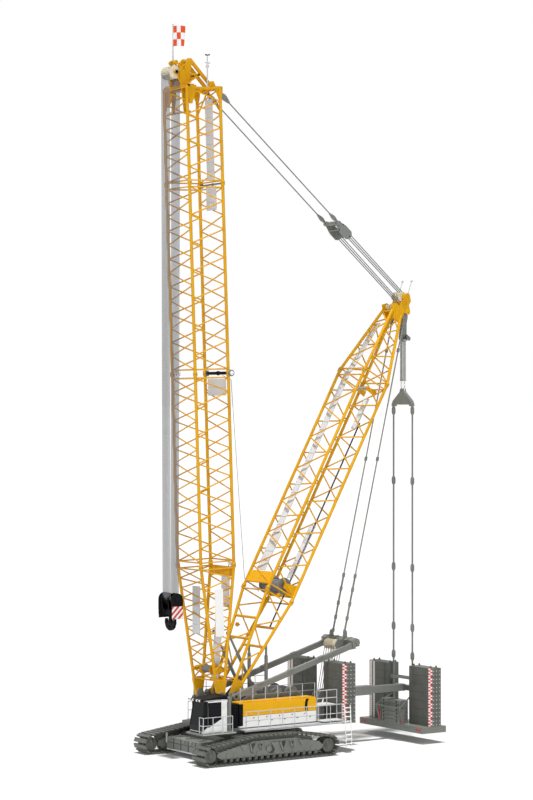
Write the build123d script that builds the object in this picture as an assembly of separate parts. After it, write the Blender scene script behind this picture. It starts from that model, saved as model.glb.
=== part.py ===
"""Crawler crane with lattice boom and derrick boom, as a 1:2 scale model.

Every size below is in metres of the full-size machine, measured in one frame:
+X forward, +Y to the machine's left, +Z up, with the slewing axis at x = y = 0
on the ground. The helpers turn metres into millimetres of the 1:2 model and
move the origin to the middle of the machine's footprint.
"""
import math
import os

from build123d import Compound, Edge, Face, Plane, Solid, Vector, Wire, export_step

MM = 500.0          # model millimetres in one metre of the full-size machine
SEAT = 0.0006       # joint between stacked or bolted pieces (0.3 mm in the model)
SHEAVE_SIDES, CHORD_SIDES = 14, 6   # flat sides of sheaves and drums, and of boom chords
PIN_PLAY = 0.0014   # radial play of a pin in its bore

# ---- undercarriage ----
TRACK_Y = 3.465
SHOE_W, SHOE_H, SHOE_PITCH, SHOE_FILL = 1.47, 0.10, 0.36, 0.80
BELT = 0.07
IDLER = (4.50, 0.65, 0.55)          # x, z, radius of the belt's path
SPROCKET = (-4.46, 0.67, 0.57)
CARRIERS = ((1.10, 1.15, 0.50), (-1.90, 1.13, 0.50))
ROLLER_Z, ROLLER_PITCH, ROLLER_COUNT, ROLLER_SIDES = 0.29, 0.458, 16, 10
ROLLER_R = ROLLER_Z - (IDLER[1] - IDLER[2] + BELT) - SEAT
WHEEL_PLAY = 0.03                   # idler and sprocket inside the belt
ROLLER_W = 0.86
FRAME_W = 0.92
FRAME_Z = ROLLER_Z + ROLLER_R + SEAT                  # underside of the side frame, on the rollers
FRAME_NOSE = IDLER[0] - IDLER[2] + BELT + WHEEL_PLAY - SEAT
FRAME_TAIL = SPROCKET[0] + SPROCKET[2] - BELT - WHEEL_PLAY + SEAT
FRAME_PROFILE = ((-3.70, FRAME_Z), (3.72, FRAME_Z), (FRAME_NOSE, 0.58), (FRAME_NOSE, 0.72), (3.88, 0.84), (1.30, 1.36),
                 (-1.90, 1.36), (-3.70, 0.98), (FRAME_TAIL, 0.76), (FRAME_TAIL, 0.60))
BRACKET_X = (2.08, -0.25, -2.35)
BOSS = (0.20, 0.83, 0.20)
CARBODY = (2.20, 2.05, 0.55, 1.42)  # half length, half width, bottom, top
ARM_X = (0.85, 2.15)
CENTRAL = (CARBODY[0] + SEAT, 3.66, 2.55, 0.32, 1.13)

# ---- superstructure ----
DECK = (-6.00, 2.40, 2.70, 1.90, 2.08)
GIRDER = (-6.02, 2.30, 1.25, 1.84, 2.75)
RING = (1.55, CARBODY[3] + SEAT, GIRDER[3] - SEAT)     # radius, bottom, top
HOUSING = (-4.30, 1.60, 1.62, 2.75, DECK[4] + SEAT, 3.62)
WALK_Y, WALK_Z, WALK_T = 3.42, 1.95, 0.06
RAIL_H, RAIL_T, POST_STEP = 0.95, 0.05, 1.80
BOOM_PIN = (2.05, 3.985)
BOOM_LUGS = ((1.02, 1.15), (1.39, 1.50))              # the platform's lugs either side of a boom foot
DERRICK_PIN = (0.97, 4.00)
SA_PIN = (1.15, 3.90)
BALLAST_X = (-7.04, -6.14)
SLAB_COUNT = 7
PIN_R = (0.10, 0.09, 0.09, 0.08)    # boom, derrick, A-frame, ballast guide
WINCHES = ((-0.45, 0.60), (-2.45, 0.95), (-3.60, 0.95))   # x, half width between flanges
WINCH_Y, WINCH_Z, WINCH_R = 1.12, 3.70, 0.50            # inner face of the side plates, shafts' height, flanges
CAB_WALL, CAB_RAKE = 0.06, 0.30
CAB_DECK = (2.30, 4.78, 1.55, 3.45, 1.88, 1.98)
CAB = (2.73, 4.60, 1.68, 3.05, CAB_DECK[5] + SEAT, 4.00)
DOOR = (3.25, 4.10, 2.08, 3.82)
DOOR_GAP, DOOR_T, DOOR_LAP = 0.012, 0.05, 0.04          # off the wall, thickness, lap over the opening

# ---- main boom ----
LEAN = math.radians(2.0)
BOOM_D, BOOM_W = 1.24, 1.35         # half depth and half width between chord centres
CHORD, LACE = 0.10, 0.065
COUPLING = (0.14, 0.14)             # length and radius of a section's end fitting
BOOM_JOINTS = (8.20, 20.34, 32.34, 38.45)
FOOT_Y, FOOT_T = 1.27, 0.10         # middle and half thickness of a boom foot
BOOM_FOOT_RING = (0.80, 0.33, 1.27)
BOOM_BORE = (0.0374, 0.036, 17.0)    # a foot's bore: wider than the pin, shifted up and back by degrees, so it can sink past the pin
HEAD_PIN = (4.97, 43.20)            # hoist sheaves
HEAD_SHEAVE_R, HEAD_SHEAVES, SHEAVE_STEP = 0.42, 8, 0.13
HEAD_CHEEK, AXLE_R = (0.60, 0.70), 0.10                # faces of a head cheek, axle of the hoist sheaves
BOOM_LUG = (1.95, 42.32)            # main stays
STAY_Y = 0.67
LUFF_PIN = (7.25, 0.12)             # stays' pin on the luffing block: distance from the derrick's head, radius
COUPLER = 0.22                      # half length of a stay coupling

# ---- derrick ----
SLOPE = math.radians(61.2)
DER_D, DER_W = 1.05, 1.375
DER_JOINTS = (7.00, 23.00, 28.00)
DER_FOOT_Y, DER_FOOT_T = 1.08, 0.10
DER_FOOT_RING = (0.80, 0.26, 1.08)
DER_WINCH, DER_WINCH_Y = (7.75, -0.25), 1.26          # place of the winch's shaft (s, d), inner face of its cheeks
TOP_PIN = (-13.09, 29.58)           # luffing sheaves
TOP_SHEAVE_R, TOP_SHEAVES = 0.34, 6
HANG_PIN = (-13.42, 28.55)
SA_HEAD = (-8.08, 7.38)
SA_TOP = (-13.02, 28.05)
SA_STAY_Y = 0.64
STOP_X, STOP_Y, STOP_Z = -1.63, 0.975, (4.15, 7.05)
STOP_R = (0.115, 0.075)             # tube and rod of a derrick stop
STOP_PIN_R = 0.05
STAY_PIN_R = 0.05
BOOM_STOP, BOOM_STOP_TIP = (-0.62, 0.80, 4.50), (1.16, 0.80, 7.85)
BOOM_STOP_Z = 4.30                  # top of the boom stops' brackets

# ---- suspended ballast ----
TRAY = (-14.36, -12.36, 3.44, 0.70, 1.12)
TRAY_SLAB_X = (-13.94, -13.04)
GUIDE_PIN = (-6.40, 3.42)
GUIDE_END, GUIDE_OUTER_END, GUIDE_INNER_END = -13.45, -10.58, -9.15      # rear end, end of the outer beam, hidden end
HOIST_X, HOOK_Z, HOOK_R = HEAD_PIN[0], 10.12, 0.43   # hook block's sheave axis and cheek radius
HOOK_T = 0.18                       # thickness of the ramshorn hook
HOOK_SEAT, HOOK_SHANK_R = -0.68, 0.12               # crosshead's top below the block's axis, shank
HOOK_EYE = (-1.70, 0.09)            # shackle eye: height from the block's axis, radius
ORIGIN_X = -(TRAY[0] + HOIST_X + HOOK_R) / 2          # slewing axis ahead of the bounding box's middle


def at(x, y, z):
    """Return a point of the machine, in metres, as model millimetres."""
    return Vector((x + ORIGIN_X) * MM, y * MM, z * MM)


def prism(points, push):
    """Extrude a closed polygon of 3-D points (metres) along a vector (metres)."""
    face = Face(Wire.make_polygon([at(*p) for p in points], close=True))
    return Solid.extrude(face, Vector(*push) * MM)


def box(x0, x1, y0, y1, z0, z1):
    """Return a box between two corners."""
    return prism(((x0, y0, z0), (x1, y0, z0), (x1, y1, z0), (x0, y1, z0)), (0, 0, z1 - z0))


def circle(x, y, z, r, normal):
    """Return a circle's wire about a point."""
    return Wire([Edge.make_circle(r * MM, Plane(origin=at(x, y, z), z_dir=normal))])


def plate(profile, y0, y1, holes=()):
    """Extrude an x-z outline from y0 to y1, with round holes (x, z, r)."""
    outer = Wire.make_polygon([at(x, y0, z) for x, z in profile], close=True)
    inner = [circle(x, y0, z, r, (0, 1, 0)) for x, z, r in holes]
    return Solid.extrude(Face(outer, inner), Vector(0, (y1 - y0) * MM, 0))


def rod(a, b, r):
    """Return a round bar between two points."""
    a, b = at(*a), at(*b)
    return Solid.make_cylinder(r * MM, (b - a).length, Plane(origin=a, z_dir=(b - a).normalized()))


def drum(x, z, r, y0, y1):
    """Return a disc or roller whose axis runs across the machine."""
    return Solid.extrude(Face(circle(x, y0, z, r, (0, 1, 0))), Vector(0, (y1 - y0) * MM, 0))


def disc(x, z, r, y0, y1, sides=SHEAVE_SIDES):
    """Return a flange, sheave or drum with flat sides, across the machine."""
    ring = [(x + r * math.cos(t), z + r * math.sin(t)) for t in (2 * math.pi * (k + 0.5) / sides for k in range(sides))]
    return plate(ring, y0, y1)


def many_sided(a, b, r, sides):
    """Return a straight bar with a regular section between two points."""
    a, b = at(*a), at(*b)
    plane = Plane(origin=a, z_dir=(b - a).normalized())
    ring = [plane.from_local_coords(Vector(math.cos(t) * r * MM, math.sin(t) * r * MM, 0))
            for t in (2 * math.pi * (i + 0.5) / sides for i in range(sides))]
    return Solid.extrude(Face(Wire.make_polygon(ring, close=True)), b - a)


def join(pieces):
    """Fuse overlapping pieces of one casting or weldment."""
    pieces = list(pieces)
    return pieces[0].fuse(*pieces[1:]) if len(pieces) > 1 else pieces[0]


def solids(shape):
    """Return the solids of a shape or of a list of shapes."""
    if isinstance(shape, (list, tuple)):
        return [s for part in shape for s in solids(part)]
    return list(shape.solids())


def save(name, shape):
    """Write one named piece."""
    export_step(Compound(children=solids(shape)), f"parts/{name}.step")


def mirror_y(shape):
    """Return the piece of the other side."""
    return [s.mirror(Plane.XZ) for s in solids(shape)]


def both(shape):
    """Return a left-hand piece together with its right-hand twin."""
    return solids(shape) + mirror_y(shape)


def lerp(a, b, t):
    """Return the point a share t of the way from a to b."""
    return tuple(p + (q - p) * t for p, q in zip(a, b))


def truss(low, high, bays, chord=CHORD, lace=LACE, rings=(True, True), faces=(0, 1, 2, 3)):
    """Return one lattice section between two rings of four corners.

    Corners run front-left, front-right, rear-right, rear-left.
    """
    parts = [many_sided(low[i], high[i], chord, CHORD_SIDES) for i in range(4)]
    inset = 0.02
    for i in faces:
        j = (i + 1) % 4
        for k in range(bays):
            t0, t1 = (inset + (1 - 2 * inset) * s / bays for s in (k, k + 1))
            p, q = (i, j) if k % 2 == 0 else (j, i)
            parts.append(many_sided(lerp(low[p], high[p], t0), lerp(low[q], high[q], t1), lace, 4))
    for used, t in zip(rings, (inset, 1 - inset)):
        if used:
            for i in range(4):
                j = (i + 1) % 4
                parts.append(many_sided(lerp(low[i], high[i], t), lerp(low[j], high[j], t), lace, 4))
    return join(parts)


def boom_at(s, d, y):
    """Return a point of the boom: s along it from the foot pin, d ahead, y left."""
    return (BOOM_PIN[0] + s * math.sin(LEAN) + d * math.cos(LEAN), y,
            BOOM_PIN[1] + s * math.cos(LEAN) - d * math.sin(LEAN))


def derrick_at(s, d, y):
    """Return a point of the derrick: s along it from the foot pin, d to its top side, y left."""
    return (DERRICK_PIN[0] - s * math.cos(SLOPE) + d * math.sin(SLOPE), y,
            DERRICK_PIN[1] + s * math.sin(SLOPE) + d * math.cos(SLOPE))


def ring_of(place, s, d, w):
    """Return the four corners of a boom's section, front-left first."""
    return [place(s, d, w), place(s, d, -w), place(s, -d, -w), place(s, -d, w)]


# ------------------------------------------------------------------ tracks
def hull(circles, grow, steps=72):
    """Return the convex outline round circles (x, z, r), their radii grown by grow."""
    pts = sorted({(round(x + (r + grow) * math.cos(a), 6), round(z + (r + grow) * math.sin(a), 6))
                  for x, z, r in circles for a in (2 * math.pi * k / steps for k in range(steps))})

    def half(seq):
        out = []
        for p in seq:
            while len(out) > 1 and ((out[-1][0] - out[-2][0]) * (p[1] - out[-2][1])
                                    - (out[-1][1] - out[-2][1]) * (p[0] - out[-2][0])) <= 0:
                out.pop()
            out.append(p)
        return out[:-1]

    return half(pts) + half(pts[::-1])


def track():
    """Return the left track: one closed belt with its shoes in the outline."""
    path = hull((IDLER, SPROCKET) + CARRIERS, 0.0)
    legs = [(p, q, math.dist(p, q)) for p, q in zip(path, path[1:] + path[:1])]
    total = sum(leg[2] for leg in legs)
    count = round(total / SHOE_PITCH)

    def along(s, out):
        s %= total
        for p, q, d in legs:
            if s <= d:
                nx, nz = (q[1] - p[1]) / d, -(q[0] - p[0]) / d
                return p[0] + (q[0] - p[0]) * s / d + nx * out, p[1] + (q[1] - p[1]) * s / d + nz * out
            s -= d
        return path[0]

    outline = []
    for k in range(count):
        a, b = (total / count * (k + e) for e in (0, SHOE_FILL))
        outline += [along(a, 0.02), along(a, SHOE_H), along(b, SHOE_H), along(b, 0.02)]
    inside = hull((IDLER, SPROCKET) + CARRIERS, -BELT, 24)
    y0 = TRACK_Y - SHOE_W / 2
    outer = Wire.make_polygon([at(x, y0, z) for x, z in outline], close=True)
    inner = Wire.make_polygon([at(x, y0, z) for x, z in inside], close=True)
    return Solid.extrude(Face(outer, [inner]), Vector(0, SHOE_W * MM, 0))


def rollers():
    """Return the left idler, sprocket, bottom rollers and carrier rollers."""
    y0, y1 = TRACK_Y - ROLLER_W / 2, TRACK_Y + ROLLER_W / 2
    first = ROLLER_PITCH * (ROLLER_COUNT - 1) / 2
    out = [drum(x, z, r - BELT - WHEEL_PLAY, y0, y1) for x, z, r in (IDLER, SPROCKET)]
    out += [disc(first - k * ROLLER_PITCH, ROLLER_Z, ROLLER_R, y0, y1, ROLLER_SIDES) for k in range(ROLLER_COUNT)]
    return out


def side_frame():
    """Return the left track frame with its bracket lugs and boss."""
    y0, y1 = TRACK_Y - FRAME_W / 2, TRACK_Y + FRAME_W / 2
    parts = [plate(FRAME_PROFILE, y0, y1)]
    for x in BRACKET_X:
        parts.append(plate(((x - 0.30, 1.20), (x + 0.30, 1.20), (x + 0.06, 0.85), (x - 0.06, 0.85)), y1 - 0.02, y1 + 0.10))
    parts.append(disc(BOSS[0], BOSS[1], BOSS[2], y1 - 0.02, y1 + 0.08))
    for x in ARM_X:
        for s in (1, -1):
            parts.append(box(min(s * x, s * x - s * 0.3), max(s * x, s * x - s * 0.3), y0 - 0.12, y0 + 0.01, 0.60, 1.30))
    return join(parts)


def carbody():
    """Return the carbody with its four arms to the side frames."""
    hx, hy, z0, z1 = CARBODY
    reach = TRACK_Y - FRAME_W / 2 - 0.12 - SEAT
    parts = [box(-hx, hx, -hy, hy, z0, z1)]
    parts += [box(min(s * ARM_X[0], s * ARM_X[1]), max(s * ARM_X[0], s * ARM_X[1]), -reach, reach, 0.62, 1.28) for s in (1, -1)]
    return join(parts)


def slew_ring():
    """Return the slewing ring on the carbody."""
    r, z0, z1 = RING
    return many_sided((0, 0, z0), (0, 0, z1), r, 24)


def central_ballast():
    """Return the two blocks ahead of and behind the carbody."""
    x0, x1, w, z0, z1 = CENTRAL
    return [box(x0, x1, -w, w, z0, z1), box(-x1, -x0, -w, w, z0, z1)]


# ------------------------------------------------------------ superstructure
def railing(points, post_step=POST_STEP, height=RAIL_H, thick=RAIL_T):
    """Return a railing along a line of floor points: posts and two rails."""
    parts = []
    r = thick / 2
    for a, b in zip(points, points[1:]):
        n = max(1, round(math.dist(a, b) / post_step))
        for k in range(n + (b == points[-1])):
            p = lerp(a, b, k / n)
            parts.append(box(p[0] - r, p[0] + r, p[1] - r, p[1] + r, p[2], p[2] + height))
        for h in (height - r, height * 0.5):
            parts.append(many_sided((a[0], a[1], a[2] + h), (b[0], b[1], b[2] + h), r * 1.2, 4))
    return join(parts)


def platform():
    """Return the slewing platform with the lugs and pins of boom, derrick, A-frame and guide."""
    x0, x1, w, z0, z1 = DECK
    parts = [box(x0, x1, -w, w, z0, z1), box(GIRDER[0], GIRDER[1], -GIRDER[2], GIRDER[2], GIRDER[3], GIRDER[4]), box(*CAB_DECK)]
    parts.append(box(BALLAST_X[0] - 0.02, x0 + 0.05, -3.28, 3.28, 1.84, 1.94))
    bx, bz = BOOM_PIN
    dx, dz = DERRICK_PIN
    sx, sz = SA_PIN
    gx, gz = GUIDE_PIN
    left = []
    for y0, y1 in BOOM_LUGS:
        left.append(plate(((bx - 0.42, 2.0), (bx + 0.34, 2.0), (bx + 0.26, bz), (bx + 0.12, bz + 0.24), (bx - 0.12, bz + 0.24), (bx - 0.30, bz - 0.1)),
                          y0, y1, ((bx, bz, PIN_R[0] + PIN_PLAY),)))
    left.append(plate(((0.20, 2.0), (1.52, 2.0), (sx + 0.26, sz), (sx + 0.14, sz + 0.20), (dx - 0.1, dz + 0.22), (dx - 0.40, dz - 0.3)),
                      1.22, 1.34))
    left.append(plate(((0.40, 2.0), (1.40, 2.0), (dx + 0.2, dz + 0.1), (dx, dz + 0.2), (dx - 0.2, dz + 0.1)), 0.84, 0.94))
    left.append(drum(sx, sz, PIN_R[2], 1.30, 1.72))
    left.append(box(STOP_X - 0.16, STOP_X + 0.16, STOP_Y - 0.16, STOP_Y + 0.10, 2.70, STOP_Z[0] - 0.12))
    ear_y = STOP_Y - STOP_R[0] - 0.01
    left.append(plate(((STOP_X - 0.12, STOP_Z[0] - 0.14), (STOP_X + 0.12, STOP_Z[0] - 0.14), (STOP_X + 0.10, STOP_Z[0] + 0.10), (STOP_X - 0.10, STOP_Z[0] + 0.10)),
                      ear_y - 0.05, ear_y, ((STOP_X, STOP_Z[0], STOP_PIN_R + PIN_PLAY),)))
    left.append(box(BOOM_STOP[0] - 0.32, BOOM_STOP[0], 0.70, 0.90, 2.70, BOOM_STOP_Z))
    left.append(box(1.60, 2.00, 1.60, 1.90, 2.00, 3.95))
    left.append(box(1.60, 2.00, 1.45, 1.65, 2.00, 2.60))
    left.append(plate(((gx + 0.60, 2.70), (gx + 0.05, 2.70), (gx - 0.12, gz - 0.1), (gx - 0.05, gz + 0.14), (gx + 0.1, gz + 0.14)), 0.28, 0.38))
    left += [drum(dx, dz, PIN_R[1], 0.90, 1.26), drum(gx, gz, PIN_R[3], 0.14, 0.34)]
    return join(parts + both(left))


def collared_pin(x, z, r, y0, y1, collar=0.04):
    """Return a pivot pin from y0 to y1 with a collar just beyond each end."""
    ends = [disc(x, z, r + collar, min(a, b), max(a, b), 12) for a, b in ((y0 - SEAT, y0 - collar), (y1 + SEAT, y1 + collar))]
    return join([drum(x, z, r, y0 - collar, y1 + collar)] + ends)


def boom_foot_pins():
    """Return the two pins that carry the boom in the platform's lugs."""
    return both(collared_pin(*BOOM_PIN, PIN_R[0], BOOM_LUGS[0][0], BOOM_LUGS[1][1]))


def housing():
    """Return the left machinery housing."""
    x0, x1, y0, y1, z0, z1 = HOUSING
    return box(x0, x1, y0, y1, z0, z1)


def winches():
    """Return the drums and their side plates on the platform."""
    plates = both(plate(((0.10, GIRDER[4] + SEAT), (0.10, 3.70), (-0.50, 4.42), (-4.20, 4.42), (-4.20, GIRDER[4] + SEAT)), WINCH_Y, WINCH_Y + 0.08))
    out = list(plates)
    for x, w in WINCHES:
        core = [disc(x, WINCH_Z, WINCH_R * 0.72, -w, w), disc(x, WINCH_Z, 0.12, SEAT - WINCH_Y, WINCH_Y - SEAT, 6)]
        core += [disc(x, WINCH_Z, WINCH_R, y - 0.025, y + 0.025) for y in (-w, 0, w)]
        out.append(join(core))
    return out


def walkways():
    """Return the gangways along both sides, the one round the cab and the rear one."""
    y0 = DECK[2] + SEAT
    z0, z1 = WALK_Z, WALK_Z + WALK_T
    return both(join([box(BALLAST_X[1] + 0.02, 1.60, y0, WALK_Y, z0, z1), box(-6.62, 1.60, WALK_Y - 0.10, WALK_Y, z0 - 0.06, z1)]))


def railings():
    """Return the railings of gangways and roofs."""
    z = WALK_Z + WALK_T + SEAT
    roof = HOUSING[5] + SEAT
    low = railing([(1.52, WALK_Y - 0.04, z), (-5.90, WALK_Y - 0.04, z)])
    top = railing([(1.52, 2.70, roof), (-4.22, 2.70, roof)], 1.07)
    cab_z = CAB_DECK[5] + SEAT
    cab = railing([(4.72, 2.95, cab_z), (4.72, 3.40, cab_z), (2.55, 3.40, cab_z)], 0.75)
    return both(low) + both(top) + solids(cab)


def ladder():
    """Return the boarding ladder at the left rear."""
    top, foot = (3.445, 3.05), (3.62, 0.36)
    parts = [many_sided((x, top[0], top[1]), (x, foot[0], foot[1]), 0.035, 4) for x in (-6.05, -6.50)]
    for k in range(9):
        y, z = lerp(top, foot, (k + 0.6) / 9.4)
        parts.append(many_sided((-6.05, y, z), (-6.50, y, z), 0.022, 4))
    parts += [box(x - 0.03, x + 0.03, WALK_Y + SEAT, 3.53, WALK_Z - 0.04, WALK_Z + WALK_T) for x in (-6.05, -6.50)]
    return join(parts)


def cab_profile(grow=0.0):
    """Return the cab's side outline, moved outward by grow."""
    x0, x1, z0, z1 = CAB[0] - grow, CAB[1] + grow, CAB[4] - grow, CAB[5] + grow
    return ((x0, z0), (x1, z0), (x1 - 0.04, z0 + 0.45), (x1 - CAB_RAKE, z1), (x0, z1))


def cab_shell():
    """Return the hollow cab with its window and door openings."""
    t = CAB_WALL
    x0, x1, y0, y1, z0, z1 = CAB
    body = plate(cab_profile(), y0, y1)
    inside = plate(cab_profile(-t), y0 + t, y1 - t)
    dx0, dx1, dz0, dz1 = DOOR
    cuts = [inside, box(dx0, dx1, y1 - 2 * t, y1 + t, dz0, dz1),
            box(x0 + 0.25, x1 - 0.45, y0 - t, y0 + 2 * t, z0 + 0.8, z1 - 0.15),
            box(x1 - 0.60, x1 + 0.2, y0 + 0.10, y1 - 0.10, z0 + 0.12, z1 - 0.14),
            box(x0 - t, x0 + 2 * t, y0 + 0.2, y1 - 0.2, z0 + 1.1, z1 - 0.2)]
    for c in cuts:
        body = body.cut(c)
    rail = box(x0, dx1 + 0.06, y1 - 0.01, y1 + DOOR_GAP + DOOR_T, dz1 + DOOR_LAP + SEAT, dz1 + DOOR_LAP + 0.07)
    return body.fuse(rail)


def cab_glass():
    """Return the panes of windscreen, right side and rear."""
    x0, x1, y0, y1, z0, z1 = CAB
    g = 0.012
    rake = ((x1 - 0.045, z0 + 0.50), (x1 - CAB_RAKE + 0.0, z1 - 0.145))
    front = prism(((rake[0][0] - 0.055, y0 + 0.10 + SEAT, rake[0][1]), (rake[0][0] - 0.055 + g * 2, y0 + 0.10 + SEAT, rake[0][1]),
                   (rake[1][0] - 0.03 + g * 2, y0 + 0.10 + SEAT, rake[1][1]), (rake[1][0] - 0.03, y0 + 0.10 + SEAT, rake[1][1])),
                  (0, y1 - y0 - 0.20 - 2 * SEAT, 0))
    low = box(x1 - 0.065, x1 - 0.04, y0 + 0.10 + SEAT, y1 - 0.10 - SEAT, z0 + 0.12 + SEAT, z0 + 0.44)
    side = box(x0 + 0.25 + SEAT, x1 - 0.45 - SEAT, y0 + 0.02, y0 + 0.02 + g, z0 + 0.8 + SEAT, z1 - 0.15 - SEAT)
    rear = box(x0 + 0.02, x0 + 0.02 + g, y0 + 0.2 + SEAT, y1 - 0.2 - SEAT, z0 + 1.1 + SEAT, z1 - 0.2 - SEAT)
    return [front, low, side, rear]


def cab_door():
    """Return the sliding door with its window opening and pane."""
    dx0, dx1, dz0, dz1 = DOOR
    y = CAB[3] + DOOR_GAP
    frame = box(dx0 - DOOR_LAP, dx1 + DOOR_LAP, y, y + DOOR_T, dz0 - 0.02, dz1 + DOOR_LAP)
    frame = frame.cut(box(dx0 + 0.05, dx1 - 0.05, y - 0.1, y + 0.2, dz0 + 0.65, dz1 - 0.05))
    pane = box(dx0 + 0.05 + SEAT, dx1 - 0.05 - SEAT, y + 0.018, y + 0.030, dz0 + 0.65 + SEAT, dz1 - 0.05 - SEAT)
    return [frame, pane]


def cab_seat():
    """Return the driver's seat."""
    x, y, z = CAB[0] + 0.62, (CAB[2] + CAB[3]) / 2, CAB[4] + CAB_WALL + SEAT
    return join([box(x - 0.12, x + 0.16, y - 0.14, y + 0.14, z, z + 0.40), box(x - 0.22, x + 0.30, y - 0.25, y + 0.25, z + 0.38, z + 0.50),
                 plate(((x - 0.22, z + 0.45), (x - 0.10, z + 0.45), (x - 0.20, z + 1.10), (x - 0.32, z + 1.10)), y - 0.24, y + 0.24)])


def roof_guard():
    """Return the dark sloping guard over the cab."""
    x0, x1, y0, y1, _, z1 = CAB
    z = z1 + SEAT
    guard = plate(((x0, z), (x0 + 0.3, z), (x0 + 0.35, z + 0.10), (x1 - 0.5, z + 0.02), (x1 - 0.45, z), (x1 - 0.28, z), (x1 + 0.10, z - 0.02),
                   (x1 + 0.12, z + 0.05), (x0 - 0.05, z + 0.24), (x0, z + 0.15)), y0 - 0.05, y1 + 0.05)
    return guard


def slab_stack(x0, x1, y0, y1, z0, height, count, cut=0.20):
    """Return a left stack of ballast slabs with the outer front corner cut at 45 degrees."""
    out = []
    for k in range(count):
        z = z0 + k * height
        out.append(prism(((x0, y0, z), (x1, y0, z), (x1, y1 - cut, z), (x1 - cut, y1, z), (x0, y1, z)),
                         (0, 0, height - SEAT)))
    for x in (x0 + 0.15, x1 - 0.3):
        for y in (y0 + 0.12, y1 - 0.35):
            z = z0 + count * height - SEAT
            out[-1] = out[-1].fuse(plate(((x - 0.07, z - 0.01), (x + 0.07, z - 0.01), (x + 0.04, z + 0.13), (x - 0.04, z + 0.13)), y, y + 0.05))
    return out


# ------------------------------------------------------------------ main boom
def couplings(place, s, d, w, way):
    """Return the four end fittings of a section that ends at s."""
    length, r = COUPLING
    return [many_sided(a, b, r, CHORD_SIDES) for a, b in zip(ring_of(place, s, d, w), ring_of(place, s + way * length, d, w))]


def section(place, s0, s1, low, high, bays, ends=(True, True), faces=(0, 1, 2, 3)):
    """Return one lattice section from s0 to s1; low and high are (half depth, half width)."""
    parts = [truss(ring_of(place, s0 + 0.03, *low), ring_of(place, s1 - 0.03, *high), bays, faces=faces)]
    if ends[0]:
        parts += couplings(place, s0 + SEAT / 2, *low, 1)
    if ends[1]:
        parts += couplings(place, s1 - SEAT / 2, *high, -1)
    return join(parts)


def foot_plate(place, ring, y, t, r):
    """Return a boom foot round its pin, up to the ends of its two chords."""
    s, d, _ = ring
    outline = [place(*p, 0)[::2] for p in ((-0.24, -0.12), (-0.24, 0.12), (-0.12, 0.24), (s + 0.12, d + 0.10), (s + 0.12, -d - 0.10), (-0.12, -0.24))]
    pin_x, pin_z = place(0, 0, 0)[::2]
    return plate(outline, y - t, y + t, ((pin_x, pin_z, r + PIN_PLAY),))


def face_plate(place, s0, s1, d, w, t=0.04):
    """Return a flat plate across a lattice face between s0 and s1."""
    a, b = place(s0, d, -w), place(s1, d, -w)
    u, v = place(s0, d + t, -w), place(s1, d + t, -w)
    return prism((a, b, v, u), (0, 2 * w, 0))


def boom_foot():
    """Return the boom's foot section with its feet, name board and cross frame."""
    low = BOOM_FOOT_RING[1:]
    parts = [section(boom_at, BOOM_FOOT_RING[0], BOOM_JOINTS[0], low, (BOOM_D, BOOM_W), 5, (False, True))]
    wider, shift, lean = BOOM_BORE
    x, z = BOOM_PIN[0] - shift * math.sin(math.radians(lean)), BOOM_PIN[1] + shift * math.cos(math.radians(lean))
    bore = drum(x, z, PIN_R[0] + wider, FOOT_Y - 2 * FOOT_T, FOOT_Y + 2 * FOOT_T)
    parts += both(foot_plate(boom_at, BOOM_FOOT_RING, FOOT_Y, FOOT_T, PIN_R[0]).cut(bore))
    parts.append(face_plate(boom_at, BOOM_JOINTS[0] - 0.75, BOOM_JOINTS[0] - 0.10, -BOOM_D - 0.02, BOOM_W - 0.05))
    y = BOOM_W - 0.02
    board = [boom_at(s, d, y) for s, d in ((3.9, -0.34), (3.9, 0.30), (7.1, 0.30), (7.1, -0.34))]
    parts.append(prism(board, (0, 0.05, 0)))
    x, _, z = boom_at(1.6, 0, 0)
    parts.append(disc(x, z, 0.36, -1.25, 1.25))
    parts += [disc(x, z, 0.50, y, y + 0.06) for y in (-0.9, 0.84)]
    return join(parts)


def boom_head():
    """Return the boom's head section with sheave cheeks, A-plates and stay lugs."""
    s0, s1 = BOOM_JOINTS[2:]
    parts = [section(boom_at, s0, s1, (BOOM_D, BOOM_W), (BOOM_D, BOOM_W), 5, (True, False))]
    hx, hz = HEAD_PIN
    cheek = plate(((4.20, 40.70), (4.70, 40.70), (hx + 0.26, hz - 0.20), (hx + 0.24, hz + 0.22), (hx - 0.24, hz + 0.24), (4.10, 42.55)),
                  *HEAD_CHEEK, ((hx, hz, AXLE_R + PIN_PLAY),))
    parts += both(cheek)
    parts += both(plate(((3.60, 44.15), (3.92, 44.15), (4.28, 43.30), (4.40, 42.20), (2.20, 42.20), (2.85, 43.10)), 0.28, 0.36))
    parts.append(box(4.30, 4.62, -1.38, 1.38, 42.22, 42.42))
    parts.append(box(4.25, 4.55, -1.36, 1.36, 40.62, 40.80))
    parts.append(box(1.98, 2.28, -1.36, 1.36, 42.20, 42.45))
    parts += both(box(2.10, 4.40, 0.56, 0.68, 42.24, 42.40))
    lx, lz = BOOM_LUG
    parts += both(plate(((lx - 0.16, lz - 0.14), (lx - 0.16, lz + 0.12), (lx + 0.20, lz + 0.12), (lx + 0.20, lz - 0.14)), STAY_Y + 0.05, STAY_Y + 0.12,
                        ((lx - 0.04, lz, 0.05),)))
    return join(parts)


def sheaves(x, z, r, count, step):
    """Return a row of grooved sheaves on a hub about the machine's middle."""
    half = count * step / 2
    parts = [disc(x, z, r * 0.72, -half, half)]
    for k in range(count + 1):
        y = -half + k * step
        parts.append(disc(x, z, r, max(-half, y - 0.02), min(half, y + 0.02)))
    return join(parts)


def boom_sheaves():
    """Return the hoist sheaves, bored for their axle."""
    hx, hz = HEAD_PIN
    return sheaves(hx, hz, HEAD_SHEAVE_R, HEAD_SHEAVES, SHEAVE_STEP).cut(rod((hx, -1, hz), (hx, 1, hz), AXLE_R + PIN_PLAY))


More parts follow.
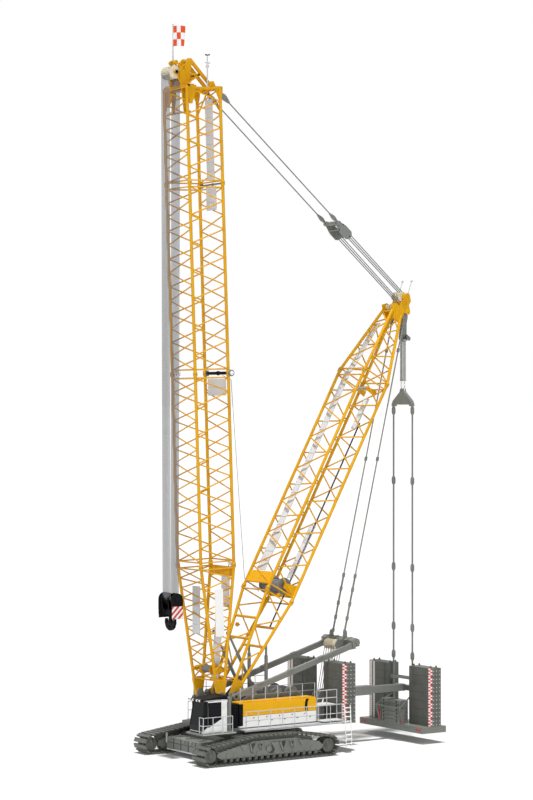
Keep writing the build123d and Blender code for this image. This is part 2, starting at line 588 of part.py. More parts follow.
def hoist_axle():
    """Return the axle of the hoist sheaves, held in the head's cheeks."""
    return collared_pin(*HEAD_PIN, AXLE_R, -HEAD_CHEEK[1], HEAD_CHEEK[1])


def masts():
    """Return the flag pole, the wind gauge's pole and the two guide rollers' stand."""
    return [many_sided((4.30, -0.80, 42.42 + SEAT), (4.30, -0.80, 46.45), 0.022, 6),
            many_sided((2.62, 0.62, 42.40 + SEAT), (2.62, 0.62, 44.60), 0.03, 6)]


# --------------------------------------------------------------------- hook
def hook_block():
    """Return the hook block: cheeks, sheaves and crosshead."""
    x, z = HOIST_X, HOOK_Z
    cheek = [(x + HOOK_R * math.cos(a), z + HOOK_R * math.sin(a)) for a in (math.pi * k / 8 for k in range(9))]
    cheek += [(x - 0.36, z - 0.55), (x - 0.20, z - 0.95), (x + 0.20, z - 0.95), (x + 0.36, z - 0.55)]
    parts = [plate(cheek, y, y + 0.06) for y in (-0.76, -0.40, 0.34, 0.70)]
    parts.append(disc(x, z, 0.08, -0.78, 0.78, 6))
    parts += [disc(x, z, 0.36, y, y + 0.05) for y in (-0.58, -0.28, -0.12, 0.07, 0.23, 0.53)]
    parts.append(disc(x, z, 0.27, -0.72, 0.72))
    parts.append(box(x - 0.19, x + 0.19, -0.74, 0.74, z - 0.93, z + HOOK_SEAT))
    bore = rod((x, 0, z - 1.0), (x, 0, z - 0.5), HOOK_SHANK_R + PIN_PLAY)
    return join(parts).cut(bore)


def hook():
    """Return the ramshorn hook on its shank."""
    x, z = HOIST_X, HOOK_Z
    shank = rod((x, 0, z - 1.45), (x, 0, z + HOOK_SEAT + 0.08), HOOK_SHANK_R)
    horn = [(0.10, -1.20), (0.16, -1.42), (0.30, -1.52), (0.42, -1.42), (0.44, -1.20), (0.55, -1.22), (0.56, -1.50), (0.42, -1.78), (0.18, -1.92), (0.0, -1.96)]
    outline = [(x - HOOK_T / 2, y, z + dz) for y, dz in horn] + [(x - HOOK_T / 2, -y, z + dz) for y, dz in horn[::-1][1:]]
    eye = rod((x - 0.20, 0, z + HOOK_EYE[0]), (x + 0.20, 0, z + HOOK_EYE[0]), HOOK_EYE[1])
    return join([shank, prism(outline, (HOOK_T, 0, 0)), rod((x, 0, z + HOOK_SEAT + SEAT), (x, 0, z + HOOK_SEAT + 0.08), HOOK_SHANK_R + 0.05)]).cut(eye)


# ------------------------------------------------------------------ derrick
def derrick_foot():
    """Return the derrick's foot section."""
    low = DER_FOOT_RING[1:]
    parts = [section(derrick_at, DER_FOOT_RING[0], DER_JOINTS[0], low, (DER_D, DER_W), 4, (False, True), (1, 3))]
    parts += both(foot_plate(derrick_at, DER_FOOT_RING, DER_FOOT_Y, DER_FOOT_T, PIN_R[1]))
    for s in (3.6, 5.0):
        t = (s - DER_FOOT_RING[0]) / (DER_JOINTS[0] - DER_FOOT_RING[0])
        d, w = lerp(low, (DER_D, DER_W), t)
        parts += [many_sided(derrick_at(s, e * d, -w), derrick_at(s, e * d, w), 0.08, 4) for e in (1, -1)]
    return join(parts)


def derrick_mid():
    """Return the derrick's long middle section with its winch frame."""
    s0, s1 = DER_JOINTS[:2]
    parts = [section(derrick_at, s0, s1, (DER_D, DER_W), (DER_D, DER_W), 13)]
    parts += [face_plate(derrick_at, s0 + 0.35, s0 + 1.15, e * (DER_D - 0.02) - 0.02, DER_W) for e in (1, -1)]
    ws, wd = DER_WINCH
    cheek = [derrick_at(s, d, 0)[::2] for s, d in ((ws - 0.42, -DER_D), (ws + 0.42, -DER_D), (ws + 0.16, wd + 0.20), (ws - 0.16, wd + 0.20))]
    parts += both(plate(cheek, DER_WINCH_Y, DER_WINCH_Y + 0.08))
    return join(parts)


def derrick_head():
    """Return the derrick's head section with its cheeks, horns and lugs."""
    s0, s1 = DER_JOINTS[1:]
    parts = [section(derrick_at, s0, s1, (DER_D, DER_W), (0.40, 0.50), 5, (True, False))]
    tx, tz = TOP_PIN
    hx, hz = HANG_PIN
    cheek = plate(((-11.90, 28.35), (-13.14, 29.93), (-13.46, 29.93), (-13.72, 29.25), (-13.66, 28.45), (-13.30, 28.28), (-12.80, 27.55)),
                  0.46, 0.56, ((tx, tz, 0.08 + PIN_PLAY),))
    parts += both(cheek)
    parts += both(plate(((-12.10, 28.40), (-12.72, 29.16), (-12.36, 29.42), (-12.02, 29.34), (-11.84, 28.98)), 0.47, 0.55))
    parts.append(box(-12.75, -12.45, -0.5, 0.5, 28.10, 28.35))
    parts.append(drum(hx, hz, 0.09, -0.56, 0.56))
    sx, sz = SA_TOP
    parts += both(drum(sx, sz, STAY_PIN_R, 0.50, SA_STAY_Y + 0.09))
    return join(parts)


def derrick_winch():
    """Return the winch carried inside the derrick."""
    x, _, z = derrick_at(*DER_WINCH, 0)
    shaft = DER_WINCH_Y - SEAT
    return join([disc(x, z, 0.40, -1.05, 1.05), disc(x, z, 0.12, -shaft, shaft, 6)] + [disc(x, z, 0.56, y, y + 0.06) for y in (-1.05, -0.03, 0.99)])


def derrick_sheaves():
    """Return the luffing sheaves at the derrick's head."""
    tx, tz = TOP_PIN
    return join([sheaves(tx, tz, TOP_SHEAVE_R, TOP_SHEAVES, SHEAVE_STEP), drum(tx, tz, 0.08, -0.60, 0.60)])


def stay_at(s, d, y):
    """Return a point on the line from the derrick's head to the boom's stay lug."""
    dx, dz = BOOM_LUG[0] - TOP_PIN[0], BOOM_LUG[1] - TOP_PIN[1]
    n = math.hypot(dx, dz)
    return (TOP_PIN[0] + (dx * s - dz * d) / n, y, TOP_PIN[1] + (dz * s + dx * d) / n)


def luffing_block():
    """Return the block between the luffing ropes and the main stays."""
    parts = []
    for y in (-0.84, -0.04, 0.76):
        parts.append(prism([stay_at(s, d, y) for s, d in ((5.75, -0.30), (5.75, 0.30), (6.1, 0.50), (6.9, 0.50), (7.5, 0.20), (7.5, -0.20), (6.9, -0.50), (6.1, -0.50))],
                           (0, 0.08, 0)))
    x, _, z = stay_at(6.25, 0, 0)
    parts.append(disc(x, z, 0.30, -0.84, 0.84))
    parts += [disc(x, z, 0.42, y, y + 0.05) for y in (-0.60, -0.40, -0.20, 0.15, 0.35, 0.55)]
    parts.append(rod(stay_at(LUFF_PIN[0], 0, -0.84), stay_at(LUFF_PIN[0], 0, 0.84), LUFF_PIN[1]))
    return join(parts)


def main_stays():
    """Return the two strings of stay bars with their couplings."""
    dx, dz = BOOM_LUG[0] - TOP_PIN[0], BOOM_LUG[1] - TOP_PIN[1]
    end = math.hypot(dx, dz)
    first = sum(LUFF_PIN) + SEAT + COUPLER
    parts = [many_sided(stay_at(first, 0, STAY_Y), stay_at(end - 0.12, 0, STAY_Y), 0.045, 6)]
    for s in (first, 9.0, end - 1.9, end - 0.33):
        parts.append(prism([stay_at(s + e * COUPLER, d, STAY_Y - 0.05) for e, d in ((-1, -0.11), (-1, 0.11), (1, 0.11), (1, -0.11))], (0, 0.10 - SEAT, 0)))
    return both(join(parts))


def sa_frame():
    """Return the A-frame behind the derrick: two beams and the cross head with its sheaves."""
    px, pz = SA_PIN
    ex, ez = -8.10, 6.62
    n = math.hypot(ex - px, ez - pz)
    ux, uz = (ex - px) / n, (ez - pz) / n
    depth = 0.20

    def beam_at(s, d):
        return px + ux * s - uz * d, pz + uz * s + ux * d

    beam = plate([beam_at(s, d) for s, d in ((-0.22, -0.10), (-0.22, 0.10), (0.3, depth), (n, depth), (n, -depth), (0.3, -depth))], 1.40, 1.68,
                 ((px, pz, PIN_R[2] + PIN_PLAY),))
    parts = both(beam)
    parts.append(plate(((-7.62, 6.34), (-7.45, 6.95), (-8.30, 7.20), (-8.50, 6.75), (-8.30, 6.52)), -1.75, 1.75))
    parts += both(plate(((-7.80, 6.80), (-8.20, 6.95), (SA_HEAD[0] - 0.10, SA_HEAD[1] + 0.12), (SA_HEAD[0] + 0.12, SA_HEAD[1] + 0.12)), SA_STAY_Y + 0.08, SA_STAY_Y + 0.14,
                        ((SA_HEAD[0], SA_HEAD[1], STAY_PIN_R + PIN_PLAY),)))
    parts += [plate(((-7.70, 6.42), (-7.62, 6.85), (-6.90, 6.75), (-6.78, 6.40), (-7.0, 6.22)), y, y + 0.06) for y in (-0.72, 0.66)]
    parts.append(disc(-7.05, 6.45, 0.34, -0.67, 0.67))
    return join(parts)


def sa_stays():
    """Return the stays from the A-frame to the derrick's head."""
    a = (SA_HEAD[0], SA_STAY_Y, SA_HEAD[1])
    b = (SA_TOP[0], SA_STAY_Y, SA_TOP[1])
    parts = [many_sided(lerp(a, b, 0.17), lerp(a, b, 0.99), 0.045, 6)]
    parts.append(drum(a[0], a[2], STAY_PIN_R, a[1] - 0.09, a[1] + 0.15))
    ring = [(b[0] + 0.12 * math.cos(t), b[2] + 0.12 * math.sin(t)) for t in (math.pi * k / 6 for k in range(12))]
    parts.append(plate(ring, b[1] - 0.04, b[1] + 0.04, ((b[0], b[2], STAY_PIN_R + PIN_PLAY),)))
    for y in (-0.05, 0.05):
        parts.append(many_sided((a[0], a[1] + y, a[2]), lerp((a[0], a[1] + y, a[2]), (b[0], b[1] + y, b[2]), 0.18), 0.032, 4))
    for t in (0.003, 0.045, 0.09, 0.135, 0.178, 0.55, 0.90, 0.988):
        p, q = lerp(a, b, max(0.0, t - 0.006)), lerp(a, b, t + 0.0065)
        parts.append(many_sided(p, q, 0.10, 4))
    return both(join(parts))


def derrick_stop_tubes():
    """Return the lower tubes of the derrick's two stops."""
    z0, z1 = STOP_Z
    tube = rod((STOP_X, STOP_Y, z0 - 0.10), (STOP_X, STOP_Y, z1 - 0.75), STOP_R[0])
    tube = tube.cut(rod((STOP_X, STOP_Y, z0 + 0.5), (STOP_X, STOP_Y, z1), STOP_R[1] + PIN_PLAY))
    return both(tube.fuse(drum(STOP_X, z0, STOP_PIN_R, STOP_Y - STOP_R[0] - 0.08, STOP_Y)))


def derrick_stop_rods():
    """Return the upper rods of the derrick's two stops."""
    z0, z1 = STOP_Z
    return both(rod((STOP_X, STOP_Y, z0 + 0.7), (STOP_X, STOP_Y, z1), STOP_R[1]))


def boom_stops():
    """Return the two tubes that catch the boom at its steepest."""
    a, b = BOOM_STOP, BOOM_STOP_TIP
    foot = plate(((a[0] - 0.28, BOOM_STOP_Z + SEAT), (a[0], BOOM_STOP_Z + SEAT), (a[0] + 0.14, a[2] + 0.12), (a[0] - 0.12, a[2] + 0.16)), a[1] - 0.08, a[1] + 0.08)
    return both(join([foot, many_sided(a, lerp(a, b, 0.62), 0.11, 8), many_sided(lerp(a, b, 0.55), b, 0.075, 8), disc(b[0], b[2], 0.12, 0.70, 0.90, 8)]))


# ---------------------------------------------------------- suspended ballast
def ballast_hanger():
    """Return the bracket and the two cylinders below the derrick's head."""
    hx, hz = HANG_PIN
    parts = [plate(((hx - 0.18, hz + 0.18), (hx + 0.18, hz + 0.18), (hx + 0.20, hz - 0.3), (hx + 0.16, 26.80), (hx - 0.30, 26.80), (hx - 0.20, hz - 0.3)), -0.20, 0.20,
                   ((hx, hz, 0.09 + PIN_PLAY),))]
    parts.append(box(hx - 0.16, hx + 0.16, -0.42, 0.42, 26.70, 27.10))
    parts += both(rod((hx, 0.24, 23.95), (hx, 0.24, 26.75), 0.13))
    block = join(parts)
    for y in (-0.24, 0.24):
        block = block.cut(rod((hx, y, 23.5), (hx, y, 26.5), 0.075 + PIN_PLAY))
    return block


def ballast_yoke():
    """Return the piston rods and the triangular yoke with the pendants."""
    hx = HANG_PIN[0]
    parts = both(rod((hx, 0.24, 23.20), (hx, 0.24, 24.75), 0.075))
    parts.append(prism(((hx - 0.12, -0.35, 23.40), (hx - 0.12, 0.35, 23.40), (hx - 0.12, 1.02, 22.62), (hx - 0.12, 1.10, 22.30), (hx - 0.12, 0.95, 22.24),
                        (hx - 0.12, -0.95, 22.24), (hx - 0.12, -1.10, 22.30), (hx - 0.12, -1.02, 22.62)), (0.24, 0, 0)))
    for s in (1, -1):
        parts.append(box(hx - 0.05, hx + 0.05, min(s * 0.98, s * 1.08), max(s * 0.98, s * 1.08), TRAY[4] + 3.82, 22.35))
        for z in (21.7, 17.0, 11.2, 7.2, 5.3):
            parts.append(box(hx - 0.09, hx + 0.09, min(s * 0.95, s * 1.11), max(s * 0.95, s * 1.11), z, z + 0.5))
    return join(parts)


def ballast_tray():
    """Return the tray with its posts, link bars and centre frame."""
    x0, x1, w, z0, z1 = TRAY
    hx = HANG_PIN[0]
    parts = [box(x0, x1, -w, w, z0, z1)]
    for s in (1, -1):
        lo, hi = sorted((s * 0.98, s * 1.12))
        parts.append(box(hx - 0.07, hx + 0.07, lo, hi, z1 - 0.02, z1 + 3.82 - SEAT))
        bar = s * 1.30
        parts.append(many_sided((-12.45, bar * 0.96, z1 - 0.02), (-12.15, bar, 2.20), 0.07, 4))
        parts.append(many_sided((-12.15, bar, 2.20), (hx + 0.10, s * 1.02, 2.95), 0.05, 4))
    parts.append(many_sided((-12.15, -1.34, 2.20), (-12.15, 1.34, 2.20), 0.07, 4))
    for x in (hx - 0.2, hx + 0.2):
        parts.append(box(x - 0.05, x + 0.05, -1.12, 1.12, 4.02, 4.16))
        parts += [box(x - 0.05, x + 0.05, lo, hi, 3.95, 4.20) for lo, hi in ((0.98, 1.12), (-1.12, -0.98))]
    parts.append(box(hx - 0.22, hx + 0.22, 0.98, 1.12, 3.90, 4.02))
    parts.append(box(hx - 0.22, hx + 0.22, -1.12, -0.98, 3.90, 4.02))
    return join(parts)


def centre_ballast():
    """Return the six slabs in the middle of the tray."""
    z, h = TRAY[4] + SEAT, 0.26
    return [box(-13.12, -12.34, -1.0, 1.0, z + k * h, z + (k + 1) * h - SEAT) for k in range(6)]


def guide_outer():
    """Return the ballast guide's outer beam, hinged behind the platform."""
    px, pz = GUIDE_PIN
    body = box(GUIDE_OUTER_END, px - 0.45, -0.30, 0.30, 3.12, 3.72)
    body = body.cut(box(GUIDE_OUTER_END - 0.5, px - 0.9, -0.235, 0.235, 3.185, 3.655))
    ear = plate(((px - 0.5, 3.14), (px, 3.22), (px + 0.16, pz), (px, 3.62), (px - 0.5, 3.70)), 0.16, 0.26, ((px, pz, PIN_R[3] + PIN_PLAY),))
    return join([body] + both(ear))


def guide_inner():
    """Return the ballast guide's sliding beam."""
    return join([box(GUIDE_END, GUIDE_INNER_END, -0.225, 0.225, 3.185 + SEAT, 3.645), box(GUIDE_END - 0.12, GUIDE_END + 0.15, -0.85, 0.85, 3.25, 3.60)])


def pieces():
    """Return every piece of the crane by its node name."""
    frame, belt, wheels, house = side_frame(), track(), rollers(), housing()
    rear = slab_stack(*BALLAST_X, 1.0, 3.28, 1.94 + SEAT, 0.533, SLAB_COUNT)
    tray = slab_stack(*TRAY_SLAB_X, 1.16, 3.43, TRAY[4] + SEAT, 0.55, SLAB_COUNT)
    full = (BOOM_D, BOOM_W)
    out = {
        "carbody": carbody(), "slew_ring": slew_ring(), "central_ballast": central_ballast(),
        "slewing_platform": platform(), "winches": winches(), "walkways": walkways(), "railings": railings(),
        "ladder": ladder(), "cab_shell": cab_shell(), "cab_glass": cab_glass(), "cab_door": cab_door(),
        "cab_seat": cab_seat(), "roof_guard": roof_guard(), "boom_stops": boom_stops(),
        "boom_foot": boom_foot(), "boom_lower": section(boom_at, *BOOM_JOINTS[0:2], full, full, 9),
        "boom_upper": section(boom_at, *BOOM_JOINTS[1:3], full, full, 9), "boom_head": boom_head(), "masts": masts(),
        "boom_sheaves": boom_sheaves(), "hoist_axle": hoist_axle(), "boom_foot_pins": boom_foot_pins(), "hook_block": hook_block(), "hook": hook(),
        "derrick_foot": derrick_foot(), "derrick_mid": derrick_mid(), "derrick_head": derrick_head(),
        "derrick_winch": derrick_winch(), "derrick_sheaves": derrick_sheaves(), "luffing_block": luffing_block(),
        "main_stays": main_stays(), "sa_frame": sa_frame(), "sa_stays": sa_stays(),
        "derrick_stop_tubes": derrick_stop_tubes(), "derrick_stop_rods": derrick_stop_rods(),
        "ballast_hanger": ballast_hanger(), "ballast_yoke": ballast_yoke(), "ballast_tray": ballast_tray(),
        "centre_ballast": centre_ballast(), "guide_outer": guide_outer(), "guide_inner": guide_inner(),
    }
    for name, left in (("side_frame", frame), ("track", belt), ("rollers", wheels), ("housing", house),
                       ("ballast_rear", rear), ("ballast_tray", tray)):
        out[name + "_left"] = left
        out[name + "_right"] = mirror_y(left)
    return out


def main():
    """Build and write every piece."""
    os.makedirs("parts", exist_ok=True)
    for name, shape in pieces().items():
        save(name, shape)


if __name__ == "__main__":
    main()
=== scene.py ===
"""Dress the half-size crawler crane in Blender and set up the studio.

Sizes are in metres of the full-size machine, measured from its slewing axis on
the ground (+X forward, +Y left, +Z up). Shape.finish turns them into the
half-size model's frame.
"""
import logging  # noqa: E402
import math  # noqa: E402
from dataclasses import dataclass  # noqa: E402
from enum import Enum  # noqa: E402
from typing import Iterable, Sequence  # noqa: E402

import bmesh  # noqa: E402
import bpy  # noqa: E402
from mathutils import Matrix, Vector  # noqa: E402


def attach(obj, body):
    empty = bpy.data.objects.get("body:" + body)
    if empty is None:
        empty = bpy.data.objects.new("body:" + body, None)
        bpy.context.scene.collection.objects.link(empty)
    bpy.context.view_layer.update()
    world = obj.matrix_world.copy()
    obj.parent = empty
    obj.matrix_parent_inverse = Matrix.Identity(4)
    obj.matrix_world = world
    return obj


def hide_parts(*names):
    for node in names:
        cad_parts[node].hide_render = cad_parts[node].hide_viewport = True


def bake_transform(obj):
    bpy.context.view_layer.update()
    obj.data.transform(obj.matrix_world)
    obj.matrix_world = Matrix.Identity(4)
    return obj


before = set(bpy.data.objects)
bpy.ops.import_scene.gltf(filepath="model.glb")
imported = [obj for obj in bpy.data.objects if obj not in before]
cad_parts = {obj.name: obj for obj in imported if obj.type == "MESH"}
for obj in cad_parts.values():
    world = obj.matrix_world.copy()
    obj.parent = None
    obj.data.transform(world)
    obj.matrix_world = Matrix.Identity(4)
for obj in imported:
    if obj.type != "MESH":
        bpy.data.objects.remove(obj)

LOG = logging.getLogger("crane")
HALF = 0.5                       # model metres in one metre of the full-size machine
AXIS_X = 4.48                    # slewing axis behind the model's origin, full-size metres
SIDES = (1, -1)                  # left and right of the middle
MERGE = 1e-6                     # points closer than this are one, model metres
HAIR = 1e-4                      # least radius in a turned profile, full-size metres
SHARP_DEG = 35.0                 # an edge that turns more than this is bevelled
RELIEF = 24000.0                 # grain width in millimetres over its height in metres
STRAY = (-0.08, 0.10)            # how far the grain takes the roughness down and up
Point = Sequence[float]
Tree, Socket, Node, Object = bpy.types.NodeTree, bpy.types.NodeSocket, bpy.types.Node, bpy.types.Object
Flat = tuple[float, float]
Outline = tuple[Flat, ...]
Plates = tuple[tuple[float, float, Outline], ...]              # two faces' distances from the middle, outline
Struts = tuple[tuple[Flat, Flat, float, float, float], ...]    # ends, half width, two faces' distances
Decks = tuple[tuple[float, float, float, float, float, float], ...]
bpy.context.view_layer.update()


class Body(str, Enum):
    """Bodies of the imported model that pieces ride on."""

    UNDERCARRIAGE = "undercarriage"
    UPPER = "superstructure"
    DOOR = "cab_door"
    BOOM = "boom"
    HOIST = "hoist_sheaves"
    BLOCK = "hook_block"
    DERRICK = "derrick"
    LUFFING = "luffing_sheaves"
    STAYS = "stay_line"
    A_FRAME = "sa_frame"
    HANGER = "ballast_hanger"
    LOAD = "ballast_load"


class Edge(Enum):
    """How a shape's edges are shaded."""

    FLAT = 0.0
    SMOOTH = 40.0


# ---------------------------------------------------------------- materials
def linear(code: str) -> tuple[float, float, float, float]:
    """Turn an sRGB hex colour into linear RGBA.

    Args:
        code: six hex digits.

    Returns:
        The linear colour with full alpha.
    """
    values = [int(code[i:i + 2], 16) / 255 for i in (0, 2, 4)]
    return (*[v / 12.92 if v <= 0.04045 else ((v + 0.055) / 1.055) ** 2.4 for v in values], 1.0)


def add_node(tree: Tree, kind: str, settings: dict | None = None, links: dict | None = None) -> Node:
    """Add a node with its settings and links.

    Args:
        tree: the node tree.
        kind: the node's type name.
        settings: attribute names, or input names and numbers, with their values.
        links: input names or numbers with the sockets that feed them.

    Returns:
        The new node.
    """
    node = tree.nodes.new(kind)
    for key, value in (settings or {}).items():
        if isinstance(key, str) and hasattr(node, key):
            setattr(node, key, value)
        else:
            node.inputs[key].default_value = value
    for key, source in (links or {}).items():
        tree.links.new(source, node.inputs[key])
    return node


@dataclass(frozen=True)
class Finish:
    """A surface finish made from a base colour, its soiling and its grain."""

    name: str
    colour: str
    shade: str
    roughness: float = 0.45
    metallic: float = 0.0
    coat: float = 0.0
    blotch_mm: float = 900.0
    grain_mm: float = 12.0
    grain: float = 0.05
    strength: float = 0.35
    specular: float = 0.5

    def base(self, tree: Tree, place: Socket) -> Socket:
        """Return the colour socket of the finish.

        Args:
            tree: the material's node tree.
            place: object coordinates.

        Returns:
            The socket that carries the colour.
        """
        cloud = add_node(tree, "ShaderNodeTexNoise", {"Scale": 1000.0 / self.blotch_mm, "Detail": 4.0,
            "Roughness": 0.6}, {"Vector": place})
        ramp = add_node(tree, "ShaderNodeMapRange", {"From Min": 0.42, "From Max": 0.75, "To Max": self.strength},
            {"Value": cloud.outputs["Fac"]})
        mix = add_node(tree, "ShaderNodeMix", {"data_type": "RGBA", 6: linear(self.colour), 7: linear(self.shade)},
            {0: ramp.outputs[0]})
        return mix.outputs[2]

    def material(self) -> bpy.types.Material:
        """Build the material on first use.

        Returns:
            The material.
        """
        found = bpy.data.materials.get(self.name)
        if found:
            return found
        mat = bpy.data.materials.new(self.name)
        mat.use_nodes = True
        tree = mat.node_tree
        tree.nodes.clear()
        place = add_node(tree, "ShaderNodeTexCoord").outputs["Object"]
        shader = add_node(tree, "ShaderNodeBsdfPrincipled", {"Metallic": self.metallic, "Coat Weight": self.coat,
            "Coat Roughness": 0.15, "Specular IOR Level": self.specular}, {"Base Color": self.base(tree, place)})
        fine = add_node(tree, "ShaderNodeTexNoise", {"Scale": 1000.0 / self.grain_mm, "Detail": 2.0},
            {"Vector": place})
        rough = add_node(tree, "ShaderNodeMapRange", {"To Min": self.roughness + STRAY[0],
            "To Max": self.roughness + STRAY[1]}, {"Value": fine.outputs["Fac"]})
        bump = add_node(tree, "ShaderNodeBump", {"Strength": self.grain, "Distance": self.grain_mm / RELIEF},
            {"Height": fine.outputs["Fac"]})
        tree.links.new(rough.outputs[0], shader.inputs["Roughness"])
        tree.links.new(bump.outputs[0], shader.inputs["Normal"])
        add_node(tree, "ShaderNodeOutputMaterial", {}, {"Surface": shader.outputs[0]})
        return mat


@dataclass(frozen=True)
class Striped(Finish):
    """A finish crossed by diagonal warning stripes."""

    second: str = "F2F0EC"
    pitch_mm: float = 300.0
    slant: tuple[float, float, float] = (1.0, 0.0, 1.0)

    def base(self, tree: Tree, place: Socket) -> Socket:
        """Return the colour socket of the stripes.

        Args:
            tree: the material's node tree.
            place: object coordinates.

        Returns:
            The socket that carries the colour.
        """
        along = add_node(tree, "ShaderNodeVectorMath", {"operation": "DOT_PRODUCT", 1: self.slant}, {0: place})
        phase = add_node(tree, "ShaderNodeMath", {"operation": "MULTIPLY", 1: 1000.0 / self.pitch_mm},
            {0: along.outputs["Value"]})
        part = add_node(tree, "ShaderNodeMath", {"operation": "FRACT"}, {0: phase.outputs[0]})
        step = add_node(tree, "ShaderNodeMath", {"operation": "GREATER_THAN", 1: 0.5}, {0: part.outputs[0]})
        mix = add_node(tree, "ShaderNodeMix", {"data_type": "RGBA", 6: linear(self.colour), 7: linear(self.second)},
            {0: step.outputs[0]})
        return mix.outputs[2]


@dataclass(frozen=True)
class Backdrop(Finish):
    """Floor paper that the camera sees as white outside the shadows."""

    lift: float = 0.02

    def material(self) -> bpy.types.Material:
        """Build the paper with a little light of its own for the camera and for gloss.

        Returns:
            The material.
        """
        mat = super().material()
        tree = mat.node_tree
        shader = next(n for n in tree.nodes if n.type == "BSDF_PRINCIPLED")
        rays = add_node(tree, "ShaderNodeLightPath").outputs
        seen = add_node(tree, "ShaderNodeMath", {"operation": "MAXIMUM"},
            {0: rays["Is Camera Ray"], 1: rays["Is Glossy Ray"]})
        level = add_node(tree, "ShaderNodeMath", {"operation": "MULTIPLY", 1: self.lift}, {0: seen.outputs[0]})
        shader.inputs["Emission Color"].default_value = (1.0, 1.0, 1.0, 1.0)
        tree.links.new(level.outputs[0], shader.inputs["Emission Strength"])
        return mat


@dataclass(frozen=True)
class Chequer(Striped):
    """A finish of squares in two colours, across Y and up Z."""

    cell_mm: float = 133.0
    offset: tuple[float, float, float] = (0.0, 0.0, 0.0)

    def base(self, tree: Tree, place: Socket) -> Socket:
        """Return the colour socket of the squares.

        Args:
            tree: the material's node tree.
            place: object coordinates.

        Returns:
            The socket that carries the colour.
        """
        moved = add_node(tree, "ShaderNodeMapping", {"Location": self.offset}, {"Vector": place})
        check = add_node(tree, "ShaderNodeTexChecker", {"Scale": 1000.0 / self.cell_mm, "Color1": linear(self.colour),
            "Color2": linear(self.second)}, {"Vector": moved.outputs[0]})
        return check.outputs["Color"]


# Two-coat polyurethane on steel: clean, slightly glossy, a warm chrome yellow, mixed darker than the housing copy
# below: painted shade of the lattice.
YELLOW = Finish("boom_yellow_paint", "E4AA0A", "C48A02", roughness=0.45, blotch_mm=2500, strength=0.6, specular=0.2)
# The same paint on pressed housing sheets, glossier because it is flat, and lighter than the lattice copy, whose
# darker tone is painted shade.
YELLOW_SHEET = Finish("housing_yellow_paint", "F8BA08", "E6A604", roughness=0.4, coat=0.05, blotch_mm=1800,
    specular=0.2)
# Satin two-coat paint on welded plate: neutral grey with a faint warm cast.
GREY = Finish("chassis_grey_paint", "7C7F78", "686B65", roughness=0.5, coat=0.05, blotch_mm=700, strength=0.6)
# Darker satin grey of the A-frame and the guide beam.
GREY_LIGHT = Finish("frame_grey_paint", "7E807B", "6C6E69", roughness=0.45, coat=0.05, blotch_mm=900, strength=0.5)
# Cast steel shoes and rollers, painted once and rubbed by the ground.
CAST = Finish("cast_steel_shoes", "686A64", "4C4E48", roughness=0.5, metallic=0.15, blotch_mm=220, grain_mm=6,
    grain=0.2, strength=0.8)
# Ballast slabs, cast and sprayed grey; the mould leaves them slightly mottled.
BALLAST = Finish("cast_ballast_grey", "5F625C", "4F524C", roughness=0.6, blotch_mm=420, grain_mm=8, grain=0.12,
    strength=0.7)
# Stove-enamelled white sheet.
WHITE = Finish("panel_white_enamel", "FDFDFB", "F4F4F1", roughness=0.35, coat=0.15, blotch_mm=1500)
# Hot-dip galvanised gratings: pale, spangled, barely metallic from afar.
GALVANISED = Finish("galvanised_grating", "CBCDCF", "AFB2B4", roughness=0.45, metallic=0.2, blotch_mm=60, grain_mm=9,
    grain=0.1, strength=0.7)
# Cast polyamide sheaves, ivory.
NYLON = Finish("cast_polyamide", "E6DFC6", "D3CBAF", roughness=0.5, blotch_mm=200)
# Black satin paint of the hook block and guard.
BLACK = Finish("black_satin_paint", "111214", "1A1B1D", roughness=0.6, blotch_mm=300, specular=0.1)
# Moulded EPDM: hoses and gaskets.
RUBBER = Finish("black_rubber", "1D1D1E", "2A2A2B", roughness=0.7, blotch_mm=200)
# Greased wire rope, seen from afar as mid grey with a soft gleam.
ROPE = Finish("greased_wire_rope", "7C7D80", "68696D", roughness=0.55, metallic=0.1, blotch_mm=400, grain_mm=10,
    grain=0.05)
# Galvanised press-locked grating, its 40 mm mesh drawn as small squares.
GRATE = Chequer("galvanised_mesh", "F1F2F3", "DDDFE0", roughness=0.55, second="D6D9DB", cell_mm=40.0)
# Rope laid on the winch drums, cool grey and dull.
SPOOL = Finish("spooled_rope", "7C828D", "646A75", roughness=0.5, metallic=0.1, blotch_mm=150)
# Painted cylinder tubes, light grey.
CYLINDER = Finish("cylinder_grey", "9B9E9E", "8C8F8F", roughness=0.4, blotch_mm=400)
# Hard-chromed piston rod: bright, ground smooth.
CHROME = Finish("hard_chrome", "C9CBCD", "BBBDC0", roughness=0.18, metallic=0.9, blotch_mm=300)
# White retroreflective foil between the red squares.
FOIL = Finish("white_foil", "EDECE8", "DEDDD9", roughness=0.35, coat=0.2)
# Shadow in the joint between two castings.
SEAM = Finish("slab_joint_shadow", "4A4C48", "3C3E3A", roughness=0.8, blotch_mm=200)
# Signal red enamel.
RED = Finish("signal_red_enamel", "C8202A", "B51B25", roughness=0.4, coat=0.2)
# Tinted cab glass: nearly black from outside.
GLASS = Finish("tinted_glass", "0D0E13", "08090C", roughness=0.12, blotch_mm=2500, grain=0.0, specular=0.15)
# Lamp lens.
LENS = Finish("lamp_lens", "F4F4F2", "DADAD8", roughness=0.15, coat=0.5)
# Louvred intake: black mesh over shadow.
LOUVRE = Finish("intake_black", "141517", "0A0B0C", roughness=0.7, blotch_mm=90, strength=0.8, specular=0.1)
# Retroreflective foil with diagonal stripes on the hook block.
HAZARD_BLOCK = Striped("hook_hazard_foil", "C92A31", "B5222A", roughness=0.35, pitch_mm=190.0, slant=(1.0, 0.0, 1.0))
# Woven polyester bunting: matt, its 4 mm weave drawn as fine grain.
FLAG_ORANGE = Finish("bunting_orange", "EC5420", "DC4714", roughness=0.8, blotch_mm=200, grain_mm=4, grain=0.3)
FLAG_WHITE = Finish("bunting_white", "FFFFFF", "FBFAF8", roughness=0.8, blotch_mm=200, grain_mm=4, grain=0.3)
